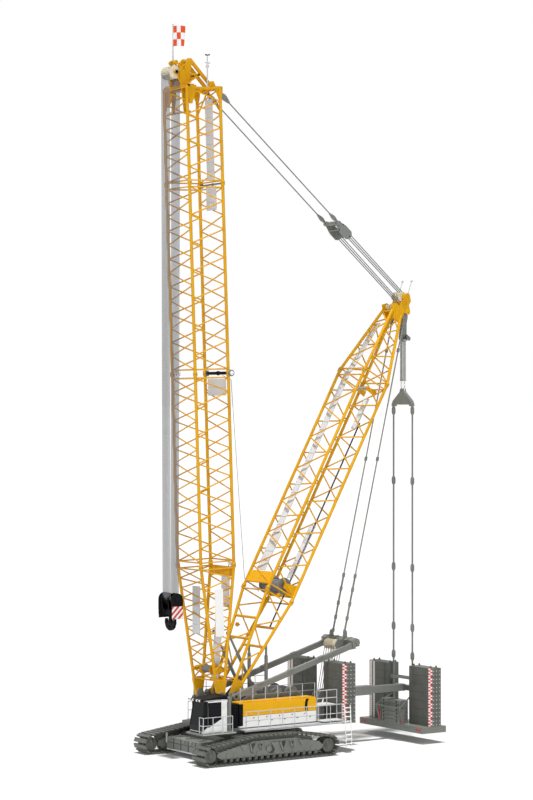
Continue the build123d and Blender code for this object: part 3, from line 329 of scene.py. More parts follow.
# Studio paper.
PAPER = Backdrop("studio_floor", "F9F9F9", "F7F7F7", roughness=0.95, grain=0.0)


# -------------------------------------------------------------------- shapes
def link(obj: Object) -> None:
    """Put an object in the scene."""
    bpy.context.scene.collection.objects.link(obj)


def at(p: Point) -> Vector:
    """Return a full-size point in the model's frame."""
    return Vector(((p[0] + AXIS_X) * HALF, p[1] * HALF, p[2] * HALF))


def basis(a: Point, b: Point) -> tuple[Vector, Vector, Vector]:
    """Return two cross directions and the direction from a to b.

    Args:
        a: start point.
        b: end point.

    Returns:
        Side, up and forward unit vectors.
    """
    forward = (Vector(b) - Vector(a)).normalized()
    helper = Vector((0, 1, 0)) if abs(forward.y) < 0.9 else Vector((1, 0, 0))
    side = helper.cross(forward).normalized()
    return side, forward.cross(side), forward


# Turned profiles, each a list of (distance, radius).
def boss(width: float, radius: float, bore: float) -> list[Flat]:
    """Return the profile of a plain boss."""
    return [(0, bore), (0, radius), (width, radius), (width, bore)]


def cap(width: float, radius: float, step: float, face: float, bore: float) -> list[Flat]:
    """Return the profile of a cap that narrows over its last step to its face's radius."""
    return [(0, bore), (0, radius), (width - step, radius), (width, face), (width, bore)]


def sheave(width: float, rim: float, root: float, lip: float, bore: float = 0.05) -> list[Flat]:
    """Return the profile of a grooved wheel with lips at its rim."""
    return [(0, bore), (0, rim), (lip, root), (width - lip, root), (width, rim), (width, bore)]


def flange(radius: float) -> list[Flat]:
    """Return the profile of a winch drum's flange."""
    return [(0, 0.05), (0, radius - 0.02), (0.02, radius), (0.04, radius), (0.06, radius - 0.02), (0.06, 0.05)]


def coils(width: float, turns: int, radius: float) -> list[Flat]:
    """Return the profile of rope laid side by side on a drum."""
    laid = [(width * (k + e) / turns, radius + 0.025 * (e > 0.2)) for k in range(turns) for e in (0.0, 0.5)]
    return [(0, 0.05)] + laid + [(width, radius), (width, 0.05)]


class Shape:
    """A mesh that grows from solids in full-size metres, each with its finish."""

    def __init__(self, *finishes: Finish) -> None:
        """Start an empty mesh with its finishes."""
        self.bm = bmesh.new()
        self.finishes = list(finishes)

    def _skin(self, rings: list[list[Vector]], finish: int) -> None:
        """Join rings of points into a closed solid.

        Args:
            rings: rings with the same number of points.
            finish: index of the finish.
        """
        grid = [[self.bm.verts.new(p) for p in ring] for ring in rings]
        n = len(grid[0])
        faces = [self.bm.faces.new((low[i], low[(i + 1) % n], high[(i + 1) % n], high[i]))
            for low, high in zip(grid, grid[1:]) for i in range(n)]
        for face in faces + [self.bm.faces.new(grid[0][::-1]), self.bm.faces.new(grid[-1])]:
            face.material_index = finish

    def tube(self, a: Point, b: Point, radius: float, sides: int = 12, finish: int = 0) -> None:
        """Add a round bar.

        Args:
            a: middle of one end.
            b: middle of the other end.
            radius: its radius.
            sides: flats round it.
            finish: index of the finish.
        """
        side, up, _ = basis(a, b)
        turn = [2 * math.pi * (i + 0.5) / sides for i in range(sides)]
        self._skin([[Vector(p) + (side * math.cos(t) + up * math.sin(t)) * radius for t in turn] for p in (a, b)],
            finish)

    def lathe(self, a: Point, b: Point, profile: Sequence[Flat], sides: int = 24, finish: int = 0) -> None:
        """Turn a profile about a line.

        Args:
            a: where the line starts.
            b: a point that it runs towards.
            profile: (distance, radius) pairs along it.
            sides: flats round it.
            finish: index of the finish.
        """
        side, up, forward = basis(a, b)
        turn = [2 * math.pi * i / sides for i in range(sides)]
        rings = [[Vector(a) + forward * s + (side * math.cos(t) + up * math.sin(t)) * max(r, HAIR) for t in turn]
            for s, r in profile]
        self._skin(rings, finish)

    def prism(self, outline: Sequence[Point], push: Point, finish: int = 0) -> None:
        """Push a flat outline along a vector."""
        low = [Vector(p) for p in outline]
        self._skin([low, [p + Vector(push) for p in low]], finish)

    def box(self, low: Point, high: Point, finish: int = 0, chamfer: float = 0.0) -> None:
        """Add a box.

        Args:
            low: one corner.
            high: the opposite corner.
            finish: index of the finish.
            chamfer: width cut off its upright edges.
        """
        (x0, x1), (y0, y1), (z0, z1) = (sorted(pair) for pair in zip(low, high))
        c = chamfer
        ring = [(x0 + c, y0), (x1 - c, y0), (x1, y0 + c), (x1, y1 - c), (x1 - c, y1), (x0 + c, y1), (x0, y1 - c),
            (x0, y0 + c)]
        self.prism([(x, y, z0) for x, y in (ring if c else ring[::2])], (0, 0, z1 - z0), finish)

    def plate(self, profile: Sequence[Flat], y0: float, y1: float, finish: int = 0) -> None:
        """Add a plate with an outline in X and Z, from y0 to y1."""
        self.prism([(x, y0, z) for x, z in profile], (0, y1 - y0, 0), finish)

    def strut(self, a: Flat, b: Flat, half: float, y0: float, y1: float, finish: int = 0) -> None:
        """Add a flat bar between two points in X and Z.

        Args:
            a: one end.
            b: the other end.
            half: half its width.
            y0: its one face.
            y1: its other face.
            finish: index of the finish.
        """
        way = Vector(b) - Vector(a)
        off = Vector((-way.y, way.x)).normalized() * half
        self.plate([tuple(Vector(a) - off), tuple(Vector(b) - off), tuple(Vector(b) + off), tuple(Vector(a) + off)],
            y0, y1, finish)

    def both_sides(self, plates: Plates = (), struts: Struts = ()) -> None:
        """Add plates and struts on the left and mirrored on the right.

        Args:
            plates: plates with their faces' distances from the middle.
            struts: flat bars with the same.
        """
        for side in SIDES:
            for y0, y1, outline in plates:
                self.plate(outline, side * y0, side * y1)
            for a, b, half, y0, y1 in struts:
                self.strut(a, b, half, side * y0, side * y1)

    def finish(self, name: str, body: Body, edge: Edge = Edge.SMOOTH, replaces: Iterable[str] = (),
            bevel: float = 0.0) -> Object:
        """Turn the mesh into a piece of the crane.

        Args:
            name: the piece's name.
            body: the body that it rides on.
            edge: how its edges are shaded.
            replaces: CAD nodes that it stands for.
            bevel: width of a bevel on sharp edges, full-size metres.

        Returns:
            The new object.
        """
        if bevel:
            sharp = [e for e in self.bm.edges
                if len(e.link_faces) == 2 and e.calc_face_angle(0) > math.radians(SHARP_DEG)]
            bmesh.ops.bevel(self.bm, geom=sharp, offset=bevel, segments=2, affect="EDGES", profile=0.6,
                clamp_overlap=True)
        halved = Matrix.Scale(HALF, 4) @ Matrix.Translation((AXIS_X, 0, 0))
        bmesh.ops.transform(self.bm, verts=self.bm.verts, matrix=halved)
        bmesh.ops.recalc_face_normals(self.bm, faces=self.bm.faces)
        for e in self.bm.edges:
            e.smooth = e.calc_face_angle(math.pi) < math.radians(edge.value)
        mesh = bpy.data.meshes.new(name)
        self.bm.to_mesh(mesh)
        self.bm.free()
        for finish in self.finishes:
            mesh.materials.append(finish.material())
        mesh.polygons.foreach_set("use_smooth", [edge is not Edge.FLAT] * len(mesh.polygons))
        return place(bpy.data.objects.new(name, mesh), body, replaces)


def place(obj: Object, body: Body, replaces: Iterable[str] = ()) -> Object:
    """Link a piece into the scene, let it ride and report it.

    Args:
        obj: the piece.
        body: the body that it rides on.
        replaces: CAD nodes that it stands for.

    Returns:
        The same piece.
    """
    link(obj)
    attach(obj, body.value)
    if replaces:
        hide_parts(*replaces)
    LOG.info("%s rides on %s with %d faces", obj.name, body.value, len(obj.data.polygons))
    return obj


# ------------------------------------------------------------ geometry nodes
def new_tree(name: str, sockets: Sequence[tuple[str, str, float | None]]) -> tuple[Tree, Node, Node]:
    """Start a Geometry Nodes tree with named inputs.

    Args:
        name: the tree's name.
        sockets: name, socket type and default of each input.

    Returns:
        The tree, its input node and its output node.
    """
    tree = bpy.data.node_groups.new(name, "GeometryNodeTree")
    tree.interface.new_socket("Geometry", in_out="INPUT", socket_type="NodeSocketGeometry")
    for label, kind, default in sockets:
        socket = tree.interface.new_socket(label, in_out="INPUT", socket_type=kind)
        if default is not None:
            socket.default_value = default
    tree.interface.new_socket("Geometry", in_out="OUTPUT", socket_type="NodeSocketGeometry")
    return tree, add_node(tree, "NodeGroupInput"), add_node(tree, "NodeGroupOutput")


def end_tree(tree: Tree, start: Node, end: Node, shape: Socket) -> None:
    """Realize a tree's instances, give them the finish and close the tree.

    Args:
        tree: the tree.
        start: its input node.
        end: its output node.
        shape: the socket of the shape so far.
    """
    real = add_node(tree, "GeometryNodeRealizeInstances", {}, {"Geometry": shape})
    dress = add_node(tree, "GeometryNodeSetMaterial", {}, {"Geometry": real.outputs[0],
        "Material": start.outputs["Finish"]})
    tree.links.new(dress.outputs[0], end.inputs[0])


def scatter_tree() -> Tree:
    """Build the tree that sets one unit on every marked point, on first use.

    Returns:
        The tree.
    """
    found = bpy.data.node_groups.get("set_units")
    if found:
        return found
    tree, start, end = new_tree("set_units", (("Unit", "NodeSocketObject", None),
        ("Finish", "NodeSocketMaterial", None), ("Size", "NodeSocketFloat", 1.0)))
    unit = add_node(tree, "GeometryNodeObjectInfo", {}, {"Object": start.outputs["Unit"]})
    turn = add_node(tree, "GeometryNodeInputNamedAttribute", {"data_type": "FLOAT_VECTOR", "Name": "turn"})
    euler = add_node(tree, "FunctionNodeEulerToRotation", {}, {0: turn.outputs["Attribute"]})
    put = add_node(tree, "GeometryNodeInstanceOnPoints", {}, {"Points": start.outputs["Geometry"],
        "Instance": unit.outputs["Geometry"], "Rotation": euler.outputs[0], "Scale": start.outputs["Size"]})
    end_tree(tree, start, end, put.outputs[0])
    return tree


def tube_tree() -> Tree:
    """Build the tree that gives a wire of edges a round section, on first use.

    Returns:
        The tree.
    """
    found = bpy.data.node_groups.get("round_bars")
    if found:
        return found
    tree, start, end = new_tree("round_bars", (("Radius", "NodeSocketFloat", 0.01), ("Sides", "NodeSocketInt", 8),
        ("Finish", "NodeSocketMaterial", None)))
    split = add_node(tree, "GeometryNodeSplitEdges", {}, {"Mesh": start.outputs["Geometry"]})
    line = add_node(tree, "GeometryNodeMeshToCurve", {}, {"Mesh": split.outputs[0]})
    ring = add_node(tree, "GeometryNodeCurvePrimitiveCircle", {},
        {"Radius": start.outputs["Radius"], "Resolution": start.outputs["Sides"]})
    pipe = add_node(tree, "GeometryNodeCurveToMesh", {"Fill Caps": True},
        {"Curve": line.outputs[0], "Profile Curve": ring.outputs[0]})
    end_tree(tree, start, end, pipe.outputs[0])
    return tree


def grow(name: str, seed: bpy.types.Mesh, tree: Tree, inputs: dict, finish: Finish) -> Object:
    """Run a Geometry Nodes tree on a seed mesh and keep the plain result.

    Args:
        name: the piece's name.
        seed: points or edges in the model's frame.
        tree: the tree.
        inputs: values by the input's name.
        finish: the piece's finish.

    Returns:
        An object with the resulting mesh, not yet riding on a body.
    """
    source = bpy.data.objects.new(name + "_seed", seed)
    link(source)
    modifier = source.modifiers.new("grow", "NODES")
    modifier.node_group = tree
    values = {**inputs, "Finish": finish.material()}
    for item in tree.interface.items_tree:
        if item.item_type == "SOCKET" and item.in_out == "INPUT" and item.name in values:
            modifier[item.identifier] = values[item.name]
    deps = bpy.context.evaluated_depsgraph_get()
    mesh = bpy.data.meshes.new_from_object(source.evaluated_get(deps))
    mesh.name = name
    source.modifiers.remove(modifier)
    bpy.data.objects.remove(source)
    bm = bmesh.new()
    bm.from_mesh(mesh)
    bmesh.ops.remove_doubles(bm, verts=bm.verts, dist=MERGE)
    bmesh.ops.recalc_face_normals(bm, faces=bm.faces)
    for e in bm.edges:
        e.smooth = e.calc_face_angle(math.pi) < math.radians(Edge.SMOOTH.value)
    for f in bm.faces:
        f.smooth = True
        f.material_index = 0
    bm.to_mesh(mesh)
    bm.free()
    mesh.materials.clear()
    mesh.materials.append(finish.material())
    return bpy.data.objects.new(name, mesh)


def wire(name: str, lines: Sequence[tuple[Point, Point]]) -> bpy.types.Mesh:
    """Make a mesh of separate edges.

    Args:
        name: the mesh's name.
        lines: pairs of full-size points.

    Returns:
        The mesh, in the model's frame.
    """
    mesh = bpy.data.meshes.new(name)
    mesh.from_pydata([at(p) for line in lines for p in line], [(2 * i, 2 * i + 1) for i in range(len(lines))], [])
    return mesh


def bars(name: str, lines: Sequence[tuple[Point, Point]], radius: float, finish: Finish, body: Body, sides: int = 8,
        replaces: Iterable[str] = ()) -> Object:
    """Make round bars along lines with the round_bars tree and let them ride."""
    obj = grow(name, wire(name + "_wire", lines), tube_tree(), {"Radius": radius * HALF, "Sides": sides}, finish)
    return place(obj, body, replaces)


def studs(name: str, points: Sequence[Point], turns: Sequence[Point], unit: Shape, finish: Finish, body: Body,
        replaces: Iterable[str] = ()) -> Object:
    """Set one unit on every point with the set_units tree and let them ride.

    Args:
        name: the piece's name.
        points: places in full-size metres.
        turns: Euler angles of each place.
        unit: the unit's shape, round its own origin in full-size metres.
        finish: the finish.
        body: the body to ride on.
        replaces: CAD nodes that the piece stands for.

    Returns:
        The finished piece.
    """
    mesh = bpy.data.meshes.new(name + "_points")
    mesh.from_pydata([at(p) for p in points], [], [])
    mark = mesh.attributes.new("turn", "FLOAT_VECTOR", "POINT")
    for item, turn in zip(mark.data, turns):
        item.vector = turn
    bmesh.ops.recalc_face_normals(unit.bm, faces=unit.bm.faces)
    shape = bpy.data.meshes.new(name + "_unit")
    unit.bm.to_mesh(shape)
    unit.bm.free()
    holder = bpy.data.objects.new(name + "_unit", shape)
    obj = grow(name, mesh, scatter_tree(), {"Unit": holder, "Size": HALF}, finish)
    bpy.data.objects.remove(holder)
    return place(obj, body, replaces)


# ------------------------------------------------------------------- studio
@dataclass(frozen=True)
class Lamp:
    """A sun lamp: its strength, its width and its tilt and turn, all three in degrees."""

    name: str
    strength: float
    width: float
    tilt: float
    turn: float

    def hang(self) -> None:
        """Put the lamp in the scene."""
        sun = bpy.data.lights.new(self.name, "SUN")
        sun.energy, sun.angle = self.strength, math.radians(self.width)
        lamp = bpy.data.objects.new(self.name, sun)
        lamp.rotation_euler = (math.radians(self.tilt), 0, math.radians(self.turn))
        link(lamp)


@dataclass
class Studio:
    """Camera, lights and floor."""

    eye: tuple[float, float, float] = (86.119, 129.415, 22.333)
    heading: float = 34.35
    focal_px: float = 2428.68
    horizon_px: float = 405.04
    picture: tuple[int, int] = (533, 800)
    sensor: float = 36.0
    floor: float = 16000.0
    drop: float = 0.001
    sky: float = 0.11
    lamps: tuple[Lamp, ...] = (Lamp("key", 2.95, 3.0, 9.0, 150.0), Lamp("fill", 0.66, 20.0, 78.0, 160.0),
        Lamp("front", 0.54, 20.0, 78.0, 96.0))

    def build(self) -> None:
        """Create the camera, the world, the lights and the floor."""
        a = math.radians(self.heading)
        forward, right = Vector((-math.sin(a), -math.cos(a), 0)), Vector((-math.cos(a), math.sin(a), 0))
        lens = bpy.data.cameras.new("camera")
        lens.sensor_width = self.sensor
        lens.lens = self.focal_px * self.sensor / self.picture[1]
        lens.shift_y = (self.horizon_px - self.picture[1] / 2) / self.picture[1]
        lens.clip_start, lens.clip_end = 1.0, 2.0 * self.floor
        camera = bpy.data.objects.new("camera", lens)
        camera.matrix_world = Matrix((right, Vector((0, 0, 1)), -forward)).transposed().to_4x4()
        camera.location = at(self.eye)
        link(camera)
        bpy.context.scene.camera = camera
        self.light()
        half = self.floor
        mesh = bpy.data.meshes.new("floor")
        mesh.from_pydata([(x, y, -self.drop) for x, y in ((-half, -half), (half, -half), (half, half),
            (-half, half))], [], [(0, 1, 2, 3)])
        mesh.materials.append(PAPER.material())
        floor = bpy.data.objects.new("floor", mesh)
        link(floor)
        bpy.context.scene.view_settings.view_transform = "Standard"

    def light(self) -> None:
        """Set a pale sky that the camera and gloss see as white paper, and hang the lamps."""
        world = bpy.data.worlds.new("studio")
        world.use_nodes = True
        tree = world.node_tree
        tree.nodes.clear()
        rays = add_node(tree, "ShaderNodeLightPath").outputs
        some = add_node(tree, "ShaderNodeMath", {"operation": "MAXIMUM"},
            {0: rays["Is Camera Ray"], 1: rays["Is Glossy Ray"]})
        seen = add_node(tree, "ShaderNodeMath", {"operation": "MAXIMUM"},
            {0: some.outputs[0], 1: rays["Is Transmission Ray"]})
        level = add_node(tree, "ShaderNodeMapRange", {"To Min": self.sky, "To Max": 1.0}, {"Value": seen.outputs[0]})
        glow = add_node(tree, "ShaderNodeBackground", {"Color": (1.0, 1.0, 1.0, 1.0)}, {"Strength": level.outputs[0]})
        add_node(tree, "ShaderNodeOutputWorld", {}, {"Surface": glow.outputs[0]})
        bpy.context.scene.world = world
        for lamp in self.lamps:
            lamp.hang()


# What each CAD node is finished in where no piece below takes its place.
NODE_FINISHES: dict[Finish, tuple[str, ...]] = {
    YELLOW: ("boom_foot", "boom_lower", "boom_upper", "boom_head", "derrick_foot", "derrick_mid", "derrick_head"),
    GREY: ("carbody", "slew_ring", "side_frame_left", "side_frame_right", "slewing_platform", "central_ballast",
        "ballast_tray", "ballast_yoke", "boom_foot_pins", "hoist_axle", "derrick_winch", "centre_ballast"),
    GREY_LIGHT: ("sa_frame", "sa_stays", "main_stays", "luffing_block", "boom_stops", "derrick_stop_tubes",
        "derrick_stop_rods",
        "ballast_hanger", "guide_outer", "guide_inner", "winches"),
    CAST: ("track_left", "track_right", "rollers_left", "rollers_right"),
    BALLAST: ("ballast_rear_left", "ballast_rear_right", "ballast_tray_left", "ballast_tray_right"),
    WHITE: ("cab_shell", "ladder", "cab_door"),
    GALVANISED: ("railings", "masts", "walkways"),
    GLASS: ("cab_glass",),
    RUBBER: ("cab_seat",),
    BLACK: ("hook_block", "hook", "roof_guard"),
    NYLON: ("boom_sheaves", "derrick_sheaves"),
    YELLOW_SHEET: ("housing_left", "housing_right"),
}


def dress_nodes() -> None:
    """Give every carried-over CAD node its finish."""
    for finish, names in NODE_FINISHES.items():
        for name in names:
            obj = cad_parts[name]
            obj = obj if isinstance(obj, Object) else bpy.data.objects[name]
            for slot in obj.material_slots:
                slot.material = finish.material()


# ------------------------------------------------------------- sub-assemblies
Line = tuple[Point, Point]


@dataclass
class Boom:
    """A lattice boom's own frame: s along it, d to its front or top, y left."""

    pin: Flat
    angle: float
    depth: float
    width: float
    joints: tuple[float, ...]
    body: Body
    inset: float = 0.02

    def at(self, s: float, d: float, y: float) -> Vector:
        """Turn a place on the boom into a point.

        Args:
            s: distance along it from its foot pin.
            d: distance to its front.
            y: distance to the left.

        Returns:
            The point in full-size metres.
        """
        u = (math.cos(self.angle), math.sin(self.angle))
        v = (math.sin(self.angle), -math.cos(self.angle))
        return Vector((self.pin[0] + u[0] * s + v[0] * d, y, self.pin[1] + u[1] * s + v[1] * d))

    def ring(self, s: float, size: Flat) -> list[Vector]:
        """Return the four corners at s, front-left first and round by the right."""
        d, w = size
        return [self.at(s, d, w), self.at(s, d, -w), self.at(s, -d, -w), self.at(s, -d, w)]

    def truss(self, s0: float, s1: float, low: Flat, high: Flat, bays: int,
            faces: Sequence[int] = (0, 1, 2, 3)) -> tuple[list[Line], list[Line]]:
        """Return the chords and the zigzag lacing of one section.

        Args:
            s0: its lower end.
            s1: its upper end.
            low: half depth and half width at the lower end.
            high: the same at the upper end.
            bays: diagonals along each face.
            faces: which faces are laced.

        Returns:
            The lines of the chords and of the lacing.
        """
        a, b = self.ring(s0 + 0.03, low), self.ring(s1 - 0.03, high)
        laces: list[Line] = []
        span = 1 - 2 * self.inset
        for i in faces:
            j = (i + 1) % 4
            for k in range(bays):
                t0, t1 = self.inset + span * k / bays, self.inset + span * (k + 1) / bays
                p, q = (i, j) if k % 2 == 0 else (j, i)
                laces.append((a[p].lerp(b[p], t0), a[q].lerp(b[q], t1)))
        for t in (self.inset, 1 - self.inset):
            laces += [(a[i].lerp(b[i], t), a[(i + 1) % 4].lerp(b[(i + 1) % 4], t)) for i in range(4)]
        return list(zip(a, b)), laces

    def feet(self, shape: Shape, foot: tuple[float, float, float], half: float, radius: float, bore: float) -> None:
        """Add the two foot plates with their bosses.

        Args:
            shape: the shape that takes them.
            foot: their length, half depth and distance from the middle.
            half: half the boss's width.
            radius: the boss's radius.
            bore: the radius of its hole.
        """
        s, d, y = foot
        outline = ((-0.24, -0.12), (-0.24, 0.12), (-0.12, 0.24), (s + 0.12, d + 0.10), (s + 0.12, -d - 0.10),
            (-0.12, -0.24))
        for side in SIDES:
            shape.prism([self.at(p, q, side * y - 0.10) for p, q in outline], (0, 0.20, 0))
            shape.lathe(self.at(0, 0, side * y - half), self.at(0, 0, side * y + half), boss(2 * half, radius, bore))

    def couplings(self, shape: Shape, joints: Sequence[float]) -> None:
        """Add the forked couplings of the chords and their cross pins.

        Args:
            shape: the shape that takes them.
            joints: their places along the boom.
        """
        size = (self.depth, self.width)
        fork = ((0, 0.02), (0, 0.105), (0.04, 0.14), (0.15, 0.145), (0.155, 0.11), (0.185, 0.11), (0.19, 0.145),
            (0.30, 0.14), (0.34, 0.105), (0.34, 0.02))
        for s in joints:
            for low, high, mid in zip(self.ring(s - 0.17, size), self.ring(s + 0.17, size), self.ring(s, size)):
                shape.lathe(low, high, fork, 12)
                shape.tube((mid[0], mid[1] - 0.17, mid[2]), (mid[0], mid[1] + 0.17, mid[2]), 0.045, 8, 1)

    def gratings(self, name: str, decks: Decks) -> None:
        """Build strips of grating with the kerbs and cross bars under them.

        Args:
            name: the boom's word in the two pieces' names.
            decks: each strip's ends as s, s, d, d, y, y.
        """
        shape, lines = Shape(GRATE), []
        for s0, s1, d0, d1, y0, y1 in decks:
            a, b, c, d = (self.at(s0, d0, y0), self.at(s1, d1, y0), self.at(s1, d1, y1), self.at(s0, d0, y1))
            shape.prism([a, b, c, d], (b - a).cross(d - a).normalized() * 0.03)
            n = max(2, round(abs(s1 - s0) / 0.6))
            lines += [(a, b), (d, c)] + [(a.lerp(b, k / n), d.lerp(c, k / n)) for k in range(n + 1)]
        shape.finish(f"{name}_gratings", self.body, Edge.FLAT)
        bars(f"{name}_grating_kerbs", lines, 0.022, GALVANISED, self.body, 6)


@dataclass
class Derrick(Boom):
    """The derrick's frame: it leans back, so its top side is the other way."""

    def at(self, s: float, d: float, y: float) -> Vector:
        """Return a point of the derrick in full-size metres."""
        c, n = math.cos(self.angle), math.sin(self.angle)
        return Vector((self.pin[0] - s * c + d * n, y, self.pin[1] + s * n + d * c))


MAIN = Boom((2.05, 3.985), math.radians(88.0), 1.24, 1.35, (8.20, 20.34, 32.34, 38.45), Body.BOOM)
MAST = Derrick((0.97, 4.00), math.radians(61.2), 1.05, 1.375, (7.00, 23.00, 28.00), Body.DERRICK)


@dataclass
class MainBoom:
    """The main boom: four lattice sections, its feet, its head and what hangs on them."""

    chord: float = 0.10
    lace: float = 0.046
    foot: tuple[float, float, float] = (0.80, 0.33, 1.27)
    bays: tuple[int, int, int, int] = (11, 13, 13, 7)
    axle: Flat = (4.97, 43.20)
    drum_s: float = 1.6
    drum_plate: Outline = ((-0.15, -0.45), (-0.15, 0.45), (-0.05, 0.46), (0.15, 0.20), (0.15, -0.20), (-0.05, -0.46))
    board: Outline = ((3.75, -0.30), (3.75, 0.24), (3.8, 0.28), (6.72, 0.28), (6.77, 0.24), (6.77, -0.30),
        (6.72, -0.34), (3.8, -0.34))
    reel: Outline = ((0, 0.02), (0, 0.12), (0.02, 0.21), (0.06, 0.21), (0.08, 0.17), (0.10, 0.21), (0.14, 0.21),
        (0.17, 0.12), (0.18, 0.02))
    decks: Decks = ((3.9, 6.9, 0.86, 0.76, -0.42, 0.40), (5.5, 7.4, -1.00, -1.12, 0.1, 0.98),
        (0.9, 4.9, -0.32, -0.80, -0.25, 0.55), (18.95, 19.95, -1.1, -1.1, -0.8, 1.22),
        (30.7, 32.2, -1.1, -1.1, -0.35, 0.75), (32.6, 37.7, -1.1, -1.1, -0.2, 0.62))
    head_plates: Plates = (
        (0.60, 0.70, ((4.24, 40.74), (4.38, 40.72), (4.56, 42.10), (4.66, 42.55), (4.74, 43.30), (4.62, 43.62),
            (4.32, 43.20), (4.17, 42.50))),
        (0.42, 0.56, ((3.96, 42.42), (4.20, 42.42), (4.34, 43.30), (4.06, 43.95), (3.86, 44.12), (3.74, 44.05))),
        (0.24, 0.42, ((3.60, 44.02), (3.68, 44.18), (3.88, 44.18), (3.98, 43.70), (3.90, 43.40), (3.72, 43.60))),
        (0.98, 1.10, ((2.30, 42.44), (2.75, 42.44), (2.70, 42.72), (2.45, 42.76))),
        (1.30, 1.38, ((4.22, 41.20), (4.42, 41.20), (4.62, 42.30), (4.62, 42.44), (4.10, 42.44), (4.02, 41.9))),
        (0.72, 0.79, ((1.79, 42.18), (1.79, 42.44), (2.15, 42.44), (2.15, 42.18))),
        (1.28, 1.36, ((1.95, 42.05), (1.95, 42.42), (2.55, 42.42), (2.55, 42.30), (2.20, 41.60), (2.05, 41.60))))
    head_struts: Struts = (
        ((4.60, 43.30), (4.95, 43.20), 0.07, 0.62, 0.68),
        ((2.02, 42.40), (3.74, 44.10), 0.10, 0.26, 0.40),
        ((4.36, 42.30), (3.84, 44.10), 0.12, 0.26, 0.40),
        ((3.05, 43.20), (4.12, 43.20), 0.07, 0.26, 0.40),
        ((3.05, 43.20), (4.36, 42.40), 0.07, 0.26, 0.40),
        ((4.36, 42.35), (4.87, 43.25), 0.10, 0.50, 0.58),
        ((3.90, 43.90), (4.87, 43.32), 0.06, 0.40, 0.48))

    def build(self) -> None:
        """Build all pieces that ride on the boom."""
        full = (MAIN.depth, MAIN.width)
        ends = (self.foot[0],) + MAIN.joints
        for k, node in enumerate(("boom_foot", "boom_lower", "boom_upper", "boom_head")):
            low = self.foot[1:] if k == 0 else full
            chords, laces = MAIN.truss(ends[k], ends[k + 1], low, full, self.bays[k])
            bars(f"{node}_chords", chords, self.chord, YELLOW, Body.BOOM, 14, (node,))
            bars(f"{node}_lacing", laces, self.lace, YELLOW, Body.BOOM, 8)
        self.fittings()
        self.foot_drum()
        self.joint_rollers()
        MAIN.gratings("boom", self.decks)
        self.head()
        self.masts()

    def fittings(self) -> None:
        """Build the couplings, the feet, the cross plate and the blank name board."""
        shape = Shape(YELLOW, GREY_LIGHT)
        MAIN.couplings(shape, MAIN.joints[:3])
        MAIN.feet(shape, self.foot, 0.13, 0.27, 0.15)
        shape.finish("boom_fittings", Body.BOOM)
        sheet = Shape(YELLOW_SHEET)
        ribs = ((7.5, 8.05, -1.20, y - 0.03, 0.05, 0.06) for y in (-0.85, 0.0, 0.85))
        for s0, s1, d, y, deep, wide in ((7.45, 8.08, -1.25, -1.28, -0.03, 2.56), *ribs):
            a, b, out = MAIN.at(s0, d, y), MAIN.at(s1, d, y), Vector((deep, 0, 0))
            sheet.prism([a, b, b + out, a + out], (0, wide, 0))
        sheet.finish("boom_cross_plate", Body.BOOM, Edge.FLAT, bevel=0.008)
        board = Shape(WHITE)
        board.prism([MAIN.at(p, q, 1.34) for p, q in self.board], (0, 0.04, 0))
        board.finish("name_board", Body.BOOM, Edge.FLAT, bevel=0.01)

    def foot_drum(self) -> None:
        """Build the auxiliary drum in the foot section."""
        drum, s = Shape(ROPE, YELLOW), self.drum_s
        laid = [(0.02 + 0.05 * k + e, 0.22 + 0.02 * (e > 0.02)) for k in range(20) for e in (0.0, 0.025)]
        drum.lathe(MAIN.at(s, 0, -0.5), MAIN.at(s, 0, 0.5), [(0, 0.05), (0, 0.22)] + laid
            + [(1.02, 0.22), (1.02, 0.05)], 28)
        for y in (-0.56, 0.50):
            drum.lathe(MAIN.at(s, 0, y), MAIN.at(s, 0, y + 0.06), flange(0.34), 32, 1)
            drum.tube(MAIN.at(s, 0, y + 0.03), MAIN.at(s, 0, 1.25 if y > 0 else -1.25), 0.09, 16, 1)
        for side in SIDES:
            drum.prism([MAIN.at(s + p, q, side * 1.17) for p, q in self.drum_plate], (0, side * 0.05, 0), 1)
        drum.finish("boom_foot_drum", Body.BOOM)

    def joint_rollers(self) -> None:
        """Build the cross rollers at two joints, the cable reel and the lamps."""
        rolls = Shape(GREY_LIGHT, WHITE, BLACK)
        for s, r, reel in ((20.34, 0.10, True), (32.34, 0.06, False)):
            roll = ((0, 0.02), (0, r * 0.6), (0.10, r), (1.1, r), (1.12, r * 1.4), (1.24, r * 1.4), (1.26, r),
                (2.26, r), (2.36, r * 0.6), (2.36, 0.02))
            rolls.lathe(MAIN.at(s, -1.36, -1.18), MAIN.at(s, -1.36, 1.18), roll, 16, 2 if reel else 0)
            for y in (-1.22, 1.18):
                rolls.prism([MAIN.at(s + p, q, y) for p, q in ((-0.18, -1.20), (-0.18, -1.42), (0.18, -1.42),
                    (0.18, -1.20))], (0, 0.04, 0))
            if reel:
                rolls.tube(MAIN.at(s, -1.24, 1.30), MAIN.at(s, -1.24, 1.66), 0.04, 10)
                rolls.lathe(MAIN.at(s, -1.24, 1.60), MAIN.at(s, -1.24, 1.78), self.reel)
                rolls.lathe(MAIN.at(s, -1.24, 1.77), MAIN.at(s, -1.24, 1.82),
                    ((0, 0.02), (0, 0.13), (0.03, 0.12), (0.05, 0.08), (0.05, 0.02)), 20, 1)
        for s, d, y in ((8.25, -1.30, 0.65), (8.25, -1.30, 0.95), (20.45, 1.34, -0.9), (20.45, 1.34, -0.5)):
            rolls.lathe(MAIN.at(s, d, y), MAIN.at(s, d, y + 0.16),
                ((0, 0.02), (0, 0.09), (0.03, 0.11), (0.13, 0.11), (0.16, 0.07), (0.16, 0.02)), 14, 1)
            rolls.tube(MAIN.at(s - 0.2, d * 0.93, y + 0.08), MAIN.at(s, d, y + 0.08), 0.02, 6, 2)
        rolls.finish("boom_joint_rollers", Body.BOOM)

